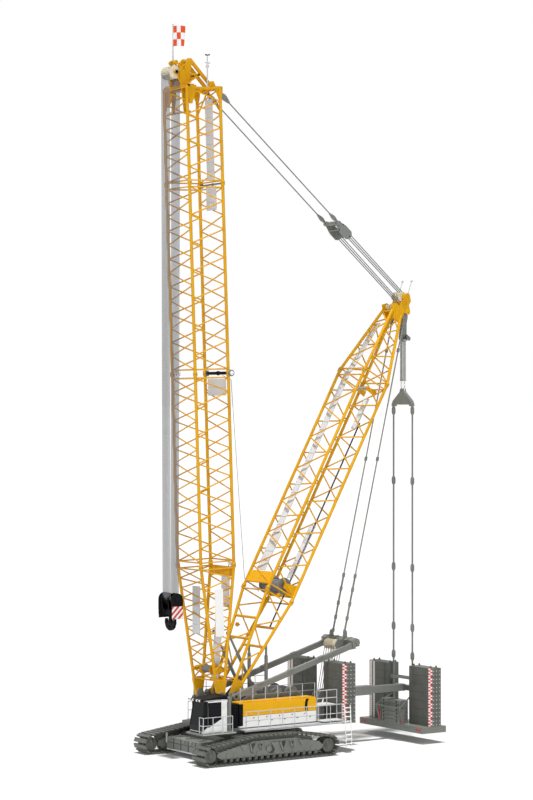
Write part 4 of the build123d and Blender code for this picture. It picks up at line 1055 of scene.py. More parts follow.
    def head(self) -> None:
        """Build the sheave cheeks, the head's frames and beams, its guide rollers and braces."""
        hx, hz = self.axle
        shape = Shape(YELLOW, GREY_LIGHT)
        shape.both_sides(self.head_plates, self.head_struts)
        for side in SIDES:
            shape.lathe((hx, side * 0.56, hz), (hx, side * 0.74, hz),
                ((0, 0.05), (0, 0.15), (0.14, 0.15), (0.18, 0.10), (0.18, 0.03)), 20)
            shape.box((2.10, side * 0.56, 42.24), (4.40, side * 0.68, 42.40))
        shape.box((4.42, -1.38, 42.24), (4.60, 1.38, 42.40))
        shape.tube((4.34, -1.30, 40.72), (4.34, 1.30, 40.72), 0.05, 10)
        shape.box((2.02, -1.36, 42.24), (2.24, 1.36, 42.42))
        shape.tube((3.76, -0.42, 44.04), (3.76, 0.42, 44.04), 0.08, 16)
        shape.finish("boom_head_frames", Body.BOOM, Edge.FLAT, bevel=0.012)
        rolls = Shape(YELLOW, NYLON)
        for y in (-0.42, 0.10):
            rolls.strut((4.62, 43.58), (4.74, 43.86), 0.05, y, y + 0.06)
            rolls.lathe((4.76, y + 0.06, 43.86), (4.76, y + 0.24, 43.86), sheave(0.18, 0.15, 0.11, 0.04, 0.03), 20)
        rolls.tube((4.70, -0.6, 43.62), (4.70, 0.6, 43.62), 0.045, 10)
        rolls.tube((4.40, -1.5, 42.5), (4.40, 1.5, 42.5), 0.03, 8)
        rolls.finish("boom_head_guide_rollers", Body.BOOM)
        top, low = (MAIN.ring(s, (MAIN.depth, MAIN.width)) for s in (38.30, 36.8))
        lines: list[Line] = [(top[0], top[2]), (top[1], top[3]), (low[3], (2.2, 0.0, 42.28)),
            (low[2], (2.2, 0.0, 42.28)), (low[0], (4.4, 0.62, 42.28)), (low[1], (4.4, -0.62, 42.28))]
        bars("boom_head_braces", lines, 0.05, YELLOW, Body.BOOM, 8)

    def masts(self) -> None:
        """Build the flag pole with its flag and the wind gauge."""
        shape = Shape(GALVANISED, BLACK)
        x, y = 4.30, -0.80
        shape.lathe((x, y, 42.42), (x, y, 46.45), ((0, 0.02), (0, 0.11), (0.06, 0.11), (0.07, 0.055), (1.8, 0.05),
            (3.96, 0.036), (3.97, 0.06), (4.01, 0.06), (4.03, 0.01)), 12)
        x, y = 2.62, 0.62
        shape.lathe((x, y, 42.40), (x, y, 44.60), ((0, 0.02), (0, 0.09), (0.05, 0.09), (0.06, 0.045), (1.25, 0.04),
            (1.26, 0.10), (1.42, 0.10), (1.44, 0.045), (2.0, 0.035), (2.02, 0.01)), 12)
        for k in range(3):
            a = 2 * math.pi * k / 3
            p = (x + 0.12 * math.cos(a), y + 0.12 * math.sin(a), 44.42)
            shape.tube((x, y, 44.42), p, 0.014, 6, 1)
            shape.lathe(p, (p[0], p[1], p[2] + 0.1), ((0, 0.01), (0.0, 0.04), (0.04, 0.055), (0.08, 0.04),
                (0.08, 0.01)), 10, 1)
        shape.tube((x - 0.2, y, 43.95), (x + 0.16, y, 43.95), 0.02, 8, 1)
        shape.finish("masts_turned", Body.BOOM, replaces=("masts",))
        self.flag()

    def flag(self) -> None:
        """Build the small warning flag of three by three squares in a light wind."""
        n, width, height = 18, 1.30, 1.28
        bm = bmesh.new()
        grid = []
        for i in range(n + 1):
            u = i / n
            row = []
            for j in range(n + 1):
                v = j / n
                wave = 0.07 * math.sin(5.2 * u + 1.1 * v) * u + 0.03 * math.sin(11 * u + 2 * v) * u
                row.append(bm.verts.new(at((4.30 + wave, -0.745 + width * u * 0.985,
                    46.30 - height * v - 0.16 * u * u))))
            grid.append(row)
        for i in range(n):
            for j in range(n):
                face = bm.faces.new((grid[i][j], grid[i + 1][j], grid[i + 1][j + 1], grid[i][j + 1]))
                face.material_index = (i * 3 // n + j * 3 // n) % 2
                face.smooth = True
        bmesh.ops.recalc_face_normals(bm, faces=bm.faces)
        mesh = bpy.data.meshes.new("flag")
        bm.to_mesh(mesh)
        bm.free()
        mesh.materials.append(FLAG_ORANGE.material())
        mesh.materials.append(FLAG_WHITE.material())
        flag = place(bpy.data.objects.new("flag", mesh), Body.BOOM)


@dataclass
class DerrickBoom:
    """The derrick: three lattice sections, its feet, winch, gratings and head."""

    chord: float = 0.10
    lace: float = 0.05
    foot: tuple[float, float, float] = (0.80, 0.26, 1.08)
    tip: Flat = (0.40, 0.50)
    winch: Flat = (7.75, -0.25)
    decks: Decks = ((8.3, 11.0, 0.86, 0.86, -1.05, -0.10), (11.0, 19.2, 0.86, 0.86, -0.98, -0.36),
        (19.2, 23.0, 0.86, 0.86, -0.98, -0.36), (8.6, 12.4, -0.80, -0.80, 0.10, 0.75),
        (23.0, 27.0, 0.82, 0.30, -0.90, -0.34), (19.4, 21.6, -0.45, -0.45, 0.45, 1.0))
    cylinder: Outline = ((0, 0.02), (0, 0.10), (0.05, 0.14), (0.30, 0.14), (0.32, 0.09), (0.78, 0.09), (0.80, 0.14),
        (1.05, 0.14), (1.10, 0.10), (1.10, 0.02))
    head_plates: Plates = (
        (0.46, 0.56, ((-12.20, 28.38), (-12.83, 29.08), (-13.30, 29.80), (-13.46, 29.84), (-13.58, 29.70),
            (-13.66, 29.26), (-13.50, 29.02), (-13.60, 28.62), (-13.46, 28.42), (-13.10, 28.50), (-12.88, 28.00),
            (-12.57, 27.84))),
        (0.44, 0.54, ((-12.03, 29.06), (-12.45, 29.16), (-12.70, 28.95), (-12.45, 28.54), (-12.12, 28.60))))

    def build(self) -> None:
        """Build all pieces that ride on the derrick."""
        full = (MAST.depth, MAST.width)
        sections = (("derrick_foot", self.foot[0], MAST.joints[0], self.foot[1:], full, 5, (1, 3)),
                    ("derrick_mid", MAST.joints[0], MAST.joints[1], full, full, 13, (0, 1, 2, 3)),
                    ("derrick_head", MAST.joints[1], MAST.joints[2], full, self.tip, 5, (0, 1, 2, 3)))
        for node, s0, s1, low, high, bays, faces in sections:
            chords, laces = MAST.truss(s0, s1, low, high, bays, faces)
            bars(f"{node}_chords", chords, self.chord, YELLOW, Body.DERRICK, 14, (node,))
            bars(f"{node}_lacing", laces, self.lace, YELLOW, Body.DERRICK, 8)
        self.fittings()
        self.drum()
        MAST.gratings("derrick", self.decks)
        self.gear()
        self.head()

    def fittings(self) -> None:
        """Build the feet, couplings and the plates round the winch."""
        shape = Shape(YELLOW, GREY_LIGHT)
        MAST.couplings(shape, MAST.joints[:2])
        MAST.feet(shape, self.foot, 0.12, 0.25, 0.10)
        s, d, y = self.foot
        ws, wd = self.winch
        for side in SIDES:
            outline = ((ws - 0.42, -MAST.depth), (ws + 0.42, -MAST.depth), (ws + 0.16, wd + 0.20),
                (ws - 0.16, wd + 0.20))
            shape.prism([MAST.at(p, q, side * 1.26) for p, q in outline], (0, side * 0.08, 0))
        for p in (3.6, 5.0):
            t = (p - s) / (MAST.joints[0] - s)
            ring = MAST.ring(p, (d + (MAST.depth - d) * t, y + (MAST.width - y) * t))
            shape.tube(ring[0], ring[1], 0.085, 12)
            shape.tube(ring[2], ring[3], 0.085, 12)
        shape.finish("derrick_fittings", Body.DERRICK)
        sheet = Shape(YELLOW_SHEET)
        for d in (1.03, -1.07):
            a, b, out = MAST.at(7.35, d, -1.36), MAST.at(8.15, d, -1.36), MAST.at(0, 0.04, 0) - MAST.at(0, 0, 0)
            sheet.prism([a, b, b + out, a + out], (0, 2.72, 0))
            for y in (-0.9, 0.0, 0.84):
                a, b, lift = MAST.at(7.40, d, y), MAST.at(8.10, d, y), out * (1.8 if d > 0 else -1.0)
                sheet.prism([a, b, b + lift, a + lift], (0, 0.06, 0))
        sheet.finish("derrick_winch_plates", Body.DERRICK, Edge.FLAT, bevel=0.008)

    def drum(self) -> None:
        """Build the winch drum with its rope."""
        shape = Shape(SPOOL, GREY_LIGHT)
        ws, wd = self.winch
        for y0, y1 in ((-0.99, -0.03), (0.03, 0.99)):
            shape.lathe(MAST.at(ws, wd, y0), MAST.at(ws, wd, y1), coils(y1 - y0, 19, 0.38), 28)
        for y in (-1.05, -0.03, 0.99):
            shape.lathe(MAST.at(ws, wd, y), MAST.at(ws, wd, y + 0.06), flange(0.56), 32, 1)
        shape.lathe(MAST.at(ws, wd, -1.256), MAST.at(ws, wd, 1.256),
            ((0, 0.02), (0, 0.12), (0.1, 0.16), (0.2, 0.16), (2.31, 0.16), (2.41, 0.16), (2.51, 0.12), (2.51, 0.02)),
            20, 1)
        shape.finish("derrick_winch_drum", Body.DERRICK, replaces=("derrick_winch",))

    def gear(self) -> None:
        """Build the hoses along the derrick, its cross cylinder and its lamps."""
        hoses = [(MAST.at(5.0 + 2.5 * k, -0.80, 0.55 + 0.06 * e), MAST.at(7.5 + 2.5 * k, -0.80, 0.55 + 0.06 * e))
            for k in range(6) for e in range(3)]
        bars("derrick_hoses", hoses, 0.018, RUBBER, Body.DERRICK, 6)
        gear = Shape(CYLINDER, YELLOW, GREY_LIGHT)
        gear.lathe(MAST.at(22.3, -0.2, -0.5), MAST.at(22.3, -0.2, 0.6), self.cylinder, 20)
        for y in (-0.56, 0.60):
            gear.prism([MAST.at(p, q, y) for p, q in ((22.1, -1.0), (22.5, -1.0), (22.4, -0.1), (22.3, -0.05),
                (22.2, -0.1))], (0, 0.05, 0), 1)
        for s in (4.6, 24.3):
            gear.lathe(MAST.at(s, 0.2, -1.62), MAST.at(s, 0.2, -1.42),
                ((0, 0.02), (0, 0.08), (0.05, 0.14), (0.14, 0.14), (0.20, 0.08), (0.20, 0.02)), 16, 1)
            gear.tube(MAST.at(s, 0.2, -1.2), MAST.at(s, 0.2, -1.45), 0.03, 8, 2)
        gear.finish("derrick_gear", Body.DERRICK)

    def head(self) -> None:
        """Build the head's plates, horns and rollers."""
        shape = Shape(YELLOW, GREY_LIGHT, NYLON, GALVANISED)
        shape.both_sides(self.head_plates)
        for side in SIDES:
            shape.lathe((-13.09, side * 0.55, 29.58), (-13.09, side * 0.66, 29.58), cap(0.11, 0.20, 0.03, 0.14, 0.05),
                20)
            shape.lathe((-13.42, side * 0.44, 28.55), (-13.42, side * 0.60, 28.55), cap(0.16, 0.17, 0.04, 0.12, 0.05),
                20)
            shape.tube((-13.02, side * 0.50, 28.05), (-13.02, side * 0.73, 28.05), 0.05, 12, 1)
            shape.tube((-13.42, side * 0.50, 29.62), (-13.76, side * 0.50, 30.62), 0.030, 8, 3)
            shape.lathe((-13.755, side * 0.50, 30.58), (-13.795, side * 0.50, 30.71),
                ((0, 0.01), (0.01, 0.06), (0.07, 0.09), (0.12, 0.06), (0.14, 0.01)), 12, 3)
        shape.tube((-12.36, -0.52, 28.90), (-12.36, 0.52, 28.90), 0.06, 12)
        shape.box((-12.75, -0.5, 28.10), (-12.45, 0.5, 28.35))
        shape.tube((-13.42, -0.5, 28.55), (-13.42, 0.5, 28.55), 0.09, 12, 1)
        for y in (-0.30, -0.05, 0.20):
            shape.lathe((-12.36, y, 28.90), (-12.36, y + 0.1, 28.90), sheave(0.10, 0.17, 0.13, 0.03), 20, 2)
        shape.finish("derrick_head_plates", Body.DERRICK)


@dataclass
class Hanger:
    """The bracket, cylinders, rods, yoke and pendants that carry the ballast."""

    x: float = -13.42
    pin_z: float = 28.55
    gap: float = 0.17
    bracket: Outline = ((-0.18, 28.71), (0.18, 28.71), (0.22, 28.30), (0.06, 27.80), (0.22, 26.90), (0.20, 26.72),
        (-0.46, 26.66), (-0.50, 26.86), (-0.16, 27.10), (-0.16, 27.80), (-0.26, 28.25))
    yoke: Outline = ((-0.14, 23.44), (0.14, 23.44), (0.24, 23.20), (0.98, 22.62), (1.10, 22.40), (1.10, 22.24),
        (0.86, 22.24), (0.80, 22.36), (-0.80, 22.36), (-0.86, 22.24), (-1.10, 22.24), (-1.10, 22.40), (-0.98, 22.62),
        (-0.24, 23.20))
    cylinder: Outline = ((0, 0.055), (0, 0.11), (0.10, 0.11), (0.11, 0.09), (2.6, 0.09), (2.62, 0.11), (2.8, 0.11),
        (2.8, 0.03))
    clamp: Outline = ((-0.05, 0), (0.05, 0), (0.10, 0.12), (0.10, 0.40), (0.05, 0.52), (-0.05, 0.52), (-0.10, 0.40),
        (-0.10, 0.12))
    clamps_z: tuple[float, ...] = (21.7, 17.0, 11.2, 7.2, 5.3)

    def build(self) -> None:
        """Build the hanging parts."""
        hx, hz = self.x, self.pin_z
        shape = Shape(GREY_LIGHT)
        for y in (-0.20, 0.12):
            shape.plate([(hx + x, z) for x, z in self.bracket], y, y + 0.08)
        shape.box((hx - 0.16, -0.20, 26.70), (hx + 0.16, 0.20, 27.05))
        shape.lathe((hx, -0.30, hz), (hx, 0.30, hz), boss(0.60, 0.19, 0.09), 20)
        shape.finish("hanger_bracket", Body.HANGER, replaces=("ballast_hanger",))
        tubes = Shape(CYLINDER)
        for y in (-self.gap, self.gap):
            tubes.lathe((hx, y, 23.95), (hx, y, 26.75), self.cylinder, 20)
        tubes.finish("hanger_cylinders", Body.HANGER)
        yoke = Shape(GREY, CHROME, GREY_LIGHT)
        for y in (-self.gap, self.gap):
            yoke.tube((hx, y, 23.10), (hx, y, 24.75), 0.05, 16, 1)
        yoke.prism([(hx - 0.12, y, z) for y, z in self.yoke], (0.24, 0, 0))
        for side in SIDES:
            lo, hi = sorted((side * 0.99, side * 1.07))
            yoke.box((hx - 0.045, lo, 4.94), (hx + 0.045, hi, 22.35), 2)
            for z in self.clamps_z:
                yoke.prism([(hx + e, lo - 0.05, z + f) for e, f in self.clamp], (0, 0.18, 0), 2)
                for f in (0.14, 0.38):
                    yoke.tube((hx, lo - 0.08, z + f), (hx, hi + 0.08, z + f), 0.035, 10, 0)
        yoke.finish("hanger_yoke", Body.LOAD, replaces=("ballast_yoke",))


@dataclass
class Luffing:
    """The luffing block and the stay couplings between the two heads."""

    top: Flat = (-13.09, 29.58)
    lug: Flat = (1.95, 42.32)
    cheek: Outline = ((5.85, -0.16), (5.85, 0.16), (6.05, 0.34), (6.65, 0.34), (7.38, 0.13), (7.45, 0.0),
        (7.38, -0.13), (6.65, -0.34), (6.05, -0.34))
    stay_y: float = 0.67
    link: Outline = ((-1, 0.25), (-0.5, 0.7), (-0.15, 1), (0.15, 1), (0.5, 0.7), (1, 0.25), (1, -0.25), (0.5, -0.7),
        (0.15, -1), (-0.15, -1), (-0.5, -0.7), (-1, -0.25))

    def at(self, s: float, d: float, y: float) -> Vector:
        """Turn a place on the line between the heads into a point.

        Args:
            s: distance from the derrick's top pin.
            d: distance above the line.
            y: distance to the left.

        Returns:
            The point in full-size metres.
        """
        dx, dz = self.lug[0] - self.top[0], self.lug[1] - self.top[1]
        n = math.hypot(dx, dz)
        return Vector((self.top[0] + (dx * s - dz * d) / n, y, self.top[1] + (dz * s + dx * d) / n))

    def build(self) -> None:
        """Build the block and the lozenge links of the stays."""
        shape = Shape(GREY_LIGHT, GREY, NYLON)
        for y in (-0.60, 0.54):
            shape.prism([self.at(s, d, y) for s, d in self.cheek], (0, 0.06, 0))
        for s, d in ((5.95, 0.0), (6.85, 0.24), (6.85, -0.24)):
            shape.tube(self.at(s, d, -0.60), self.at(s, d, 0.60), 0.05, 12, 1)
        shape.lathe(self.at(7.25, 0, -0.84), self.at(7.25, 0, 0.84),
            ((0, 0.03), (0, 0.12), (0.05, 0.14), (1.63, 0.14), (1.68, 0.12), (1.68, 0.03)), 16, 1)
        for y in (-0.42, -0.26, -0.10, 0.06, 0.22, 0.38):
            shape.lathe(self.at(6.35, 0, y), self.at(6.35, 0, y + 0.08), sheave(0.08, 0.31, 0.27, 0.02), 28, 1)
        shape.finish("luffing_block_turned", Body.STAYS, replaces=("luffing_block",))
        links = Shape(GREY_LIGHT, GREY)
        end = math.hypot(self.lug[0] - self.top[0], self.lug[1] - self.top[1])
        for side in SIDES:
            y = side * self.stay_y
            links.tube(self.at(7.3, 0, y), self.at(end - 0.1, 0, y), 0.042, 10)
            for s, half, deep in ((7.75, 0.42, 0.12), (end - 0.72, 0.52, 0.17), (end - 0.12, 0.16, 0.10)):
                links.prism([self.at(s + half * e, deep * d, y - 0.07) for e, d in self.link], (0, 0.14, 0))
                for e in (-0.4, 0.4):
                    links.tube(self.at(s + half * e, 0, y - 0.10), self.at(s + half * e, 0, y + 0.10), 0.045, 10, 1)
        links.finish("stay_links", Body.STAYS, replaces=("main_stays",))


@dataclass
class Tracks:
    """Crawler tracks with their shoes, rollers and hubs."""

    middle: float = 3.465
    shoe_width: float = 1.47
    pitch: float = 0.36
    idler: tuple[float, float, float] = (4.50, 0.65, 0.55)
    sprocket: tuple[float, float, float] = (-4.46, 0.67, 0.57)
    carriers: tuple[tuple[float, float, float], ...] = ((1.10, 1.15, 0.50), (-1.90, 1.13, 0.50))
    roller: tuple[float, float, float, int] = (0.29, 0.115, 0.458, 16)
    ribs: tuple[Outline, ...] = (
        ((1.66, 1.24), (1.20, 1.24), (1.45, 0.62)), ((0.95, 1.14), (0.70, 1.14), (0.80, 0.78)),
        ((-0.63, 1.22), (-1.10, 1.22), (-0.88, 0.58)), ((-1.44, 1.14), (-1.70, 1.14), (-1.60, 0.74)))
    rail: Outline = ((3.90, 0.80), (1.20, 1.28), (-1.90, 1.28), (-3.50, 0.98), (-3.30, 1.31), (-1.90, 1.53),
        (1.20, 1.54), (4.08, 1.15), (4.00, 1.02))

    def path(self) -> list[tuple[float, float, float]]:
        """Lay the shoes round the wheels.

        Returns:
            Each shoe's place as (x, z, angle).
        """
        wheels = (self.idler, self.sprocket, *self.carriers)
        turns = [2 * math.pi * k / 144 for k in range(144)]
        dots = sorted({(x + r * math.cos(t), z + r * math.sin(t)) for x, z, r in wheels for t in turns})

        def chain(seq: Iterable[Flat]) -> list[Flat]:
            """Find one side of the convex line round the points.

            Args:
                seq: the points in order.

            Returns:
                The corners of that side, without its last one.
            """
            out: list[Flat] = []
            for p in seq:
                while len(out) > 1:
                    (ax, az), (bx, bz) = out[-2:]
                    if (bx - ax) * (p[1] - az) - (bz - az) * (p[0] - ax) > 0:
                        break
                    out.pop()
                out.append(p)
            return out[:-1]

        line = chain(dots) + chain(dots[::-1])
        legs = [(p, q, math.dist(p, q)) for p, q in zip(line, line[1:] + line[:1])]
        total = sum(leg[2] for leg in legs)
        count = round(total / self.pitch)
        places = []
        for k in range(count):
            s = total / count * (k + 0.5)
            for p, q, d in legs:
                if s <= d:
                    places.append((p[0] + (q[0] - p[0]) * s / d, p[1] + (q[1] - p[1]) * s / d,
                        math.atan2(q[1] - p[1], q[0] - p[0])))
                    break
                s -= d
        return places

    def shoe(self) -> Shape:
        """Make one cast shoe about its own middle, ground side down.

        Returns:
            The shoe's shape.
        """
        w, unit = self.shoe_width / 2, Shape(CAST)
        step = self.pitch
        unit.prism([(-0.38 * step, y, z) for y, z in ((-w, -0.085), (-w, 0.0), (-w + 0.10, 0.02), (w - 0.10, 0.02),
            (w, 0.0), (w, -0.085))], (0.76 * step, 0, 0))
        for x in (-0.36, 0.20):
            unit.box((x * step, -w + 0.02, -0.10), ((x + 0.14) * step, w - 0.02, -0.084))
        for y in (-0.33, 0.21):
            unit.box((-0.46 * step, y, -0.005), (0.30 * step, y + 0.12, 0.062))
            unit.box((0.28 * step, y, -0.002), (0.49 * step, y + 0.12, 0.040))
        unit.box((-0.20 * step, -0.05, -0.002), (0.20 * step, 0.05, 0.10))
        return unit

    def wheel(self, shape: Shape, x: float, z: float, r: float, y: float, out: float, finish: int = 0) -> None:
        """Add an idler or a sprocket with a hub cap on each side.

        Args:
            shape: the shape that takes it.
            x: its axle's X.
            z: its axle's height.
            r: its radius.
            y: its middle's Y.
            out: how far the cap's middle stands out further.
            finish: index of the finish.
        """
        a, b = (x, y - 0.43, z), (x, y + 0.43, z)
        shape.lathe(a, b, ((0, 0.02), (0, r - 0.12), (0.03, r - 0.02), (0.16, r), (0.34, r), (0.36, r - 0.10),
            (0.50, r - 0.10), (0.52, r), (0.70, r), (0.83, r - 0.02), (0.86, r - 0.12), (0.86, 0.02)), 36, finish)
        for side in SIDES:
            p, q = (x, y + side * 0.42, z), (x, y + side * 0.60, z)
            shape.lathe(p, q, ((0, 0.30), (0.06, 0.30), (0.07, 0.22), (0.12, 0.20), (0.13, 0.12), (0.13 + out, 0.11),
                (0.14 + out, 0.02)), 24, finish)

    def build(self) -> None:
        """Build both tracks."""
        places = self.path()
        z, r, step, count = self.roller
        for side, label in ((1, "left"), (-1, "right")):
            y = side * self.middle
            studs(f"track_shoes_{label}", [(x, y, h) for x, h, _ in places], [(0, -a, 0) for _, _, a in places],
                self.shoe(), CAST, Body.UNDERCARRIAGE, (f"track_{label}",))
            wheels = Shape(CAST)
            for x, h, size in (self.idler, self.sprocket):
                self.wheel(wheels, x, h, size - 0.105, y, 0.0 if x > 0 else 0.03)
            wheels.finish(f"track_wheels_{label}", Body.UNDERCARRIAGE, replaces=(f"rollers_{label}",))
            unit = Shape(CAST)
            unit.lathe((0, -0.45, 0), (0, 0.45, 0), ((0, 0.02), (0, 0.07), (0.05, 0.075), (0.06, r + 0.01),
                (0.12, r + 0.015), (0.14, r), (0.76, r), (0.78, r + 0.015), (0.84, r + 0.01),
                (0.85, 0.075), (0.90, 0.07), (0.90, 0.02)), 16)
            first = step * (count - 1) / 2
            studs(f"bottom_rollers_{label}", [(first - k * step, y, z) for k in range(count)], [(0, 0, 0)] * count,
                unit, CAST, Body.UNDERCARRIAGE)
            self.frame_details(side, label)

    def frame_details(self, side: int, label: str) -> None:
        """Build the covers, roller caps, ribs and slide rail of one side frame.

        Args:
            side: 1 on the left, -1 on the right.
            label: the side's word in the piece's name.
        """
        shape = Shape(GREY, CAST, SEAM)
        face = side * (self.middle + 0.46)
        out = side * 0.03
        for x in (3.3, 2.7, 1.0, -1.0, -1.7, -3.1):
            shape.box((x - 0.10, face, 0.52), (x + 0.10, face + out, 0.74))
        for k in range(self.roller[3]):
            x = self.roller[2] * ((self.roller[3] - 1) / 2 - k)
            shape.box((x - 0.10, face - out, 0.24), (x + 0.10, face + out, 0.46), 1)
        for a, b, c in self.ribs:
            shape.strut(a, c, 0.05, face - out, face + 4 * out)
            shape.strut(b, c, 0.05, face - out, face + 4 * out)
            # the web between the two ribs takes the joint-shadow finish: painted shade in the pocket between them
            shape.plate((a, b, c), face - out, face + 0.4 * out, 2)
            shape.tube((c[0], face, c[1] + 0.05), (c[0], face + 5 * out, c[1] + 0.05), 0.05, 12, 1)
        shape.lathe((0.01, face, 0.74), (0.01, face + side, 0.74),
            ((0, 0.24), (0.05, 0.24), (0.06, 0.17), (0.03, 0.15), (0.03, 0.02)), 24, 2)
        shape.plate(self.rail, side * (self.middle - 0.13), side * (self.middle + 0.13), 1)
        shape.finish(f"side_frame_fittings_{label}", Body.UNDERCARRIAGE)


@dataclass
class Ropes:
    """All the rope falls, each a bundle of straight lines between two sets of sheaves."""

    head: Flat = (4.97, 43.20)
    block_z: float = 10.12
    block_sheave: Flat = (6.35, 0.31)
    a_frame_x: float = -7.62
    radius: float = 0.024

    def fall(self, name: str, lines: Sequence[Line], radius: float, low: Body, high: Body, start: Point,
            end: Point) -> None:
        """Build one bundle of ropes, fixed in the world, and log the two bodies at its ends.

        Args:
            name: the piece's name.
            lines: its ropes.
            radius: the ropes' radius.
            low: the body at the start.
            high: the body at the end.
            start: not used.
            end: not used.
        """
        ropes = grow(name, wire(name + "_wire", lines), tube_tree(), {"Radius": radius * HALF, "Sides": 6}, ROPE)
        link(ropes)
        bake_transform(ropes)
        LOG.info("%s runs from %s to %s", name, low.value, high.value)

    def build(self) -> None:
        """Build the hoist, luffing, auxiliary and A-frame rope falls."""
        x, z = self.head
        lines: list[Line] = []
        for k in range(8):
            y = (k - 3.5) * 0.13
            lines += [((x + 0.38, y, z), (x + 0.30, y * 0.92, self.block_z)),
                ((x - 0.38, y, z), (x - 0.30, y * 0.92, self.block_z))]
        self.fall("hoist_ropes", lines, self.radius, Body.HOIST, Body.BLOCK, (x, 0, z - 0.5),
            (x, 0, self.block_z + 0.5))
        line, (reach, half) = Luffing(), self.block_sheave
        lines = [(line.at(0, e, y), line.at(reach, e * 0.92, y * 1.25)) for y in (-0.22, 0.0, 0.22)
            for e in (half, -half)]
        self.fall("luffing_ropes", lines, 0.034, Body.LUFFING, Body.STAYS, line.at(0.5, 0, 0), line.at(5.7, 0, 0))
        x = self.a_frame_x
        lines = []
        for y in (0.24 * k for k in range(-2, 3)):
            lines += [((-6.50, y * 0.9, 2.60), (x + 0.30, y, 6.55)), ((-7.20, y * 1.1, 2.60), (x - 0.30, y, 6.55))]
        self.fall("a_frame_ropes", lines, 0.022, Body.UPPER, Body.A_FRAME, (-6.6, 0, 2.8), (-7.5, 0, 6.2))
        low, high = MAST.at(6.98, 2.41, 0.5), MAIN.at(19.89, -2.0, 0.5)
        lines = [(low, high), (low, MAST.at(6.7, 1.05, 0.6)), (high, MAIN.at(20.2, -1.35, 0.5))]
        self.fall("auxiliary_rope", lines, 0.018, Body.DERRICK, Body.BOOM, low, high)


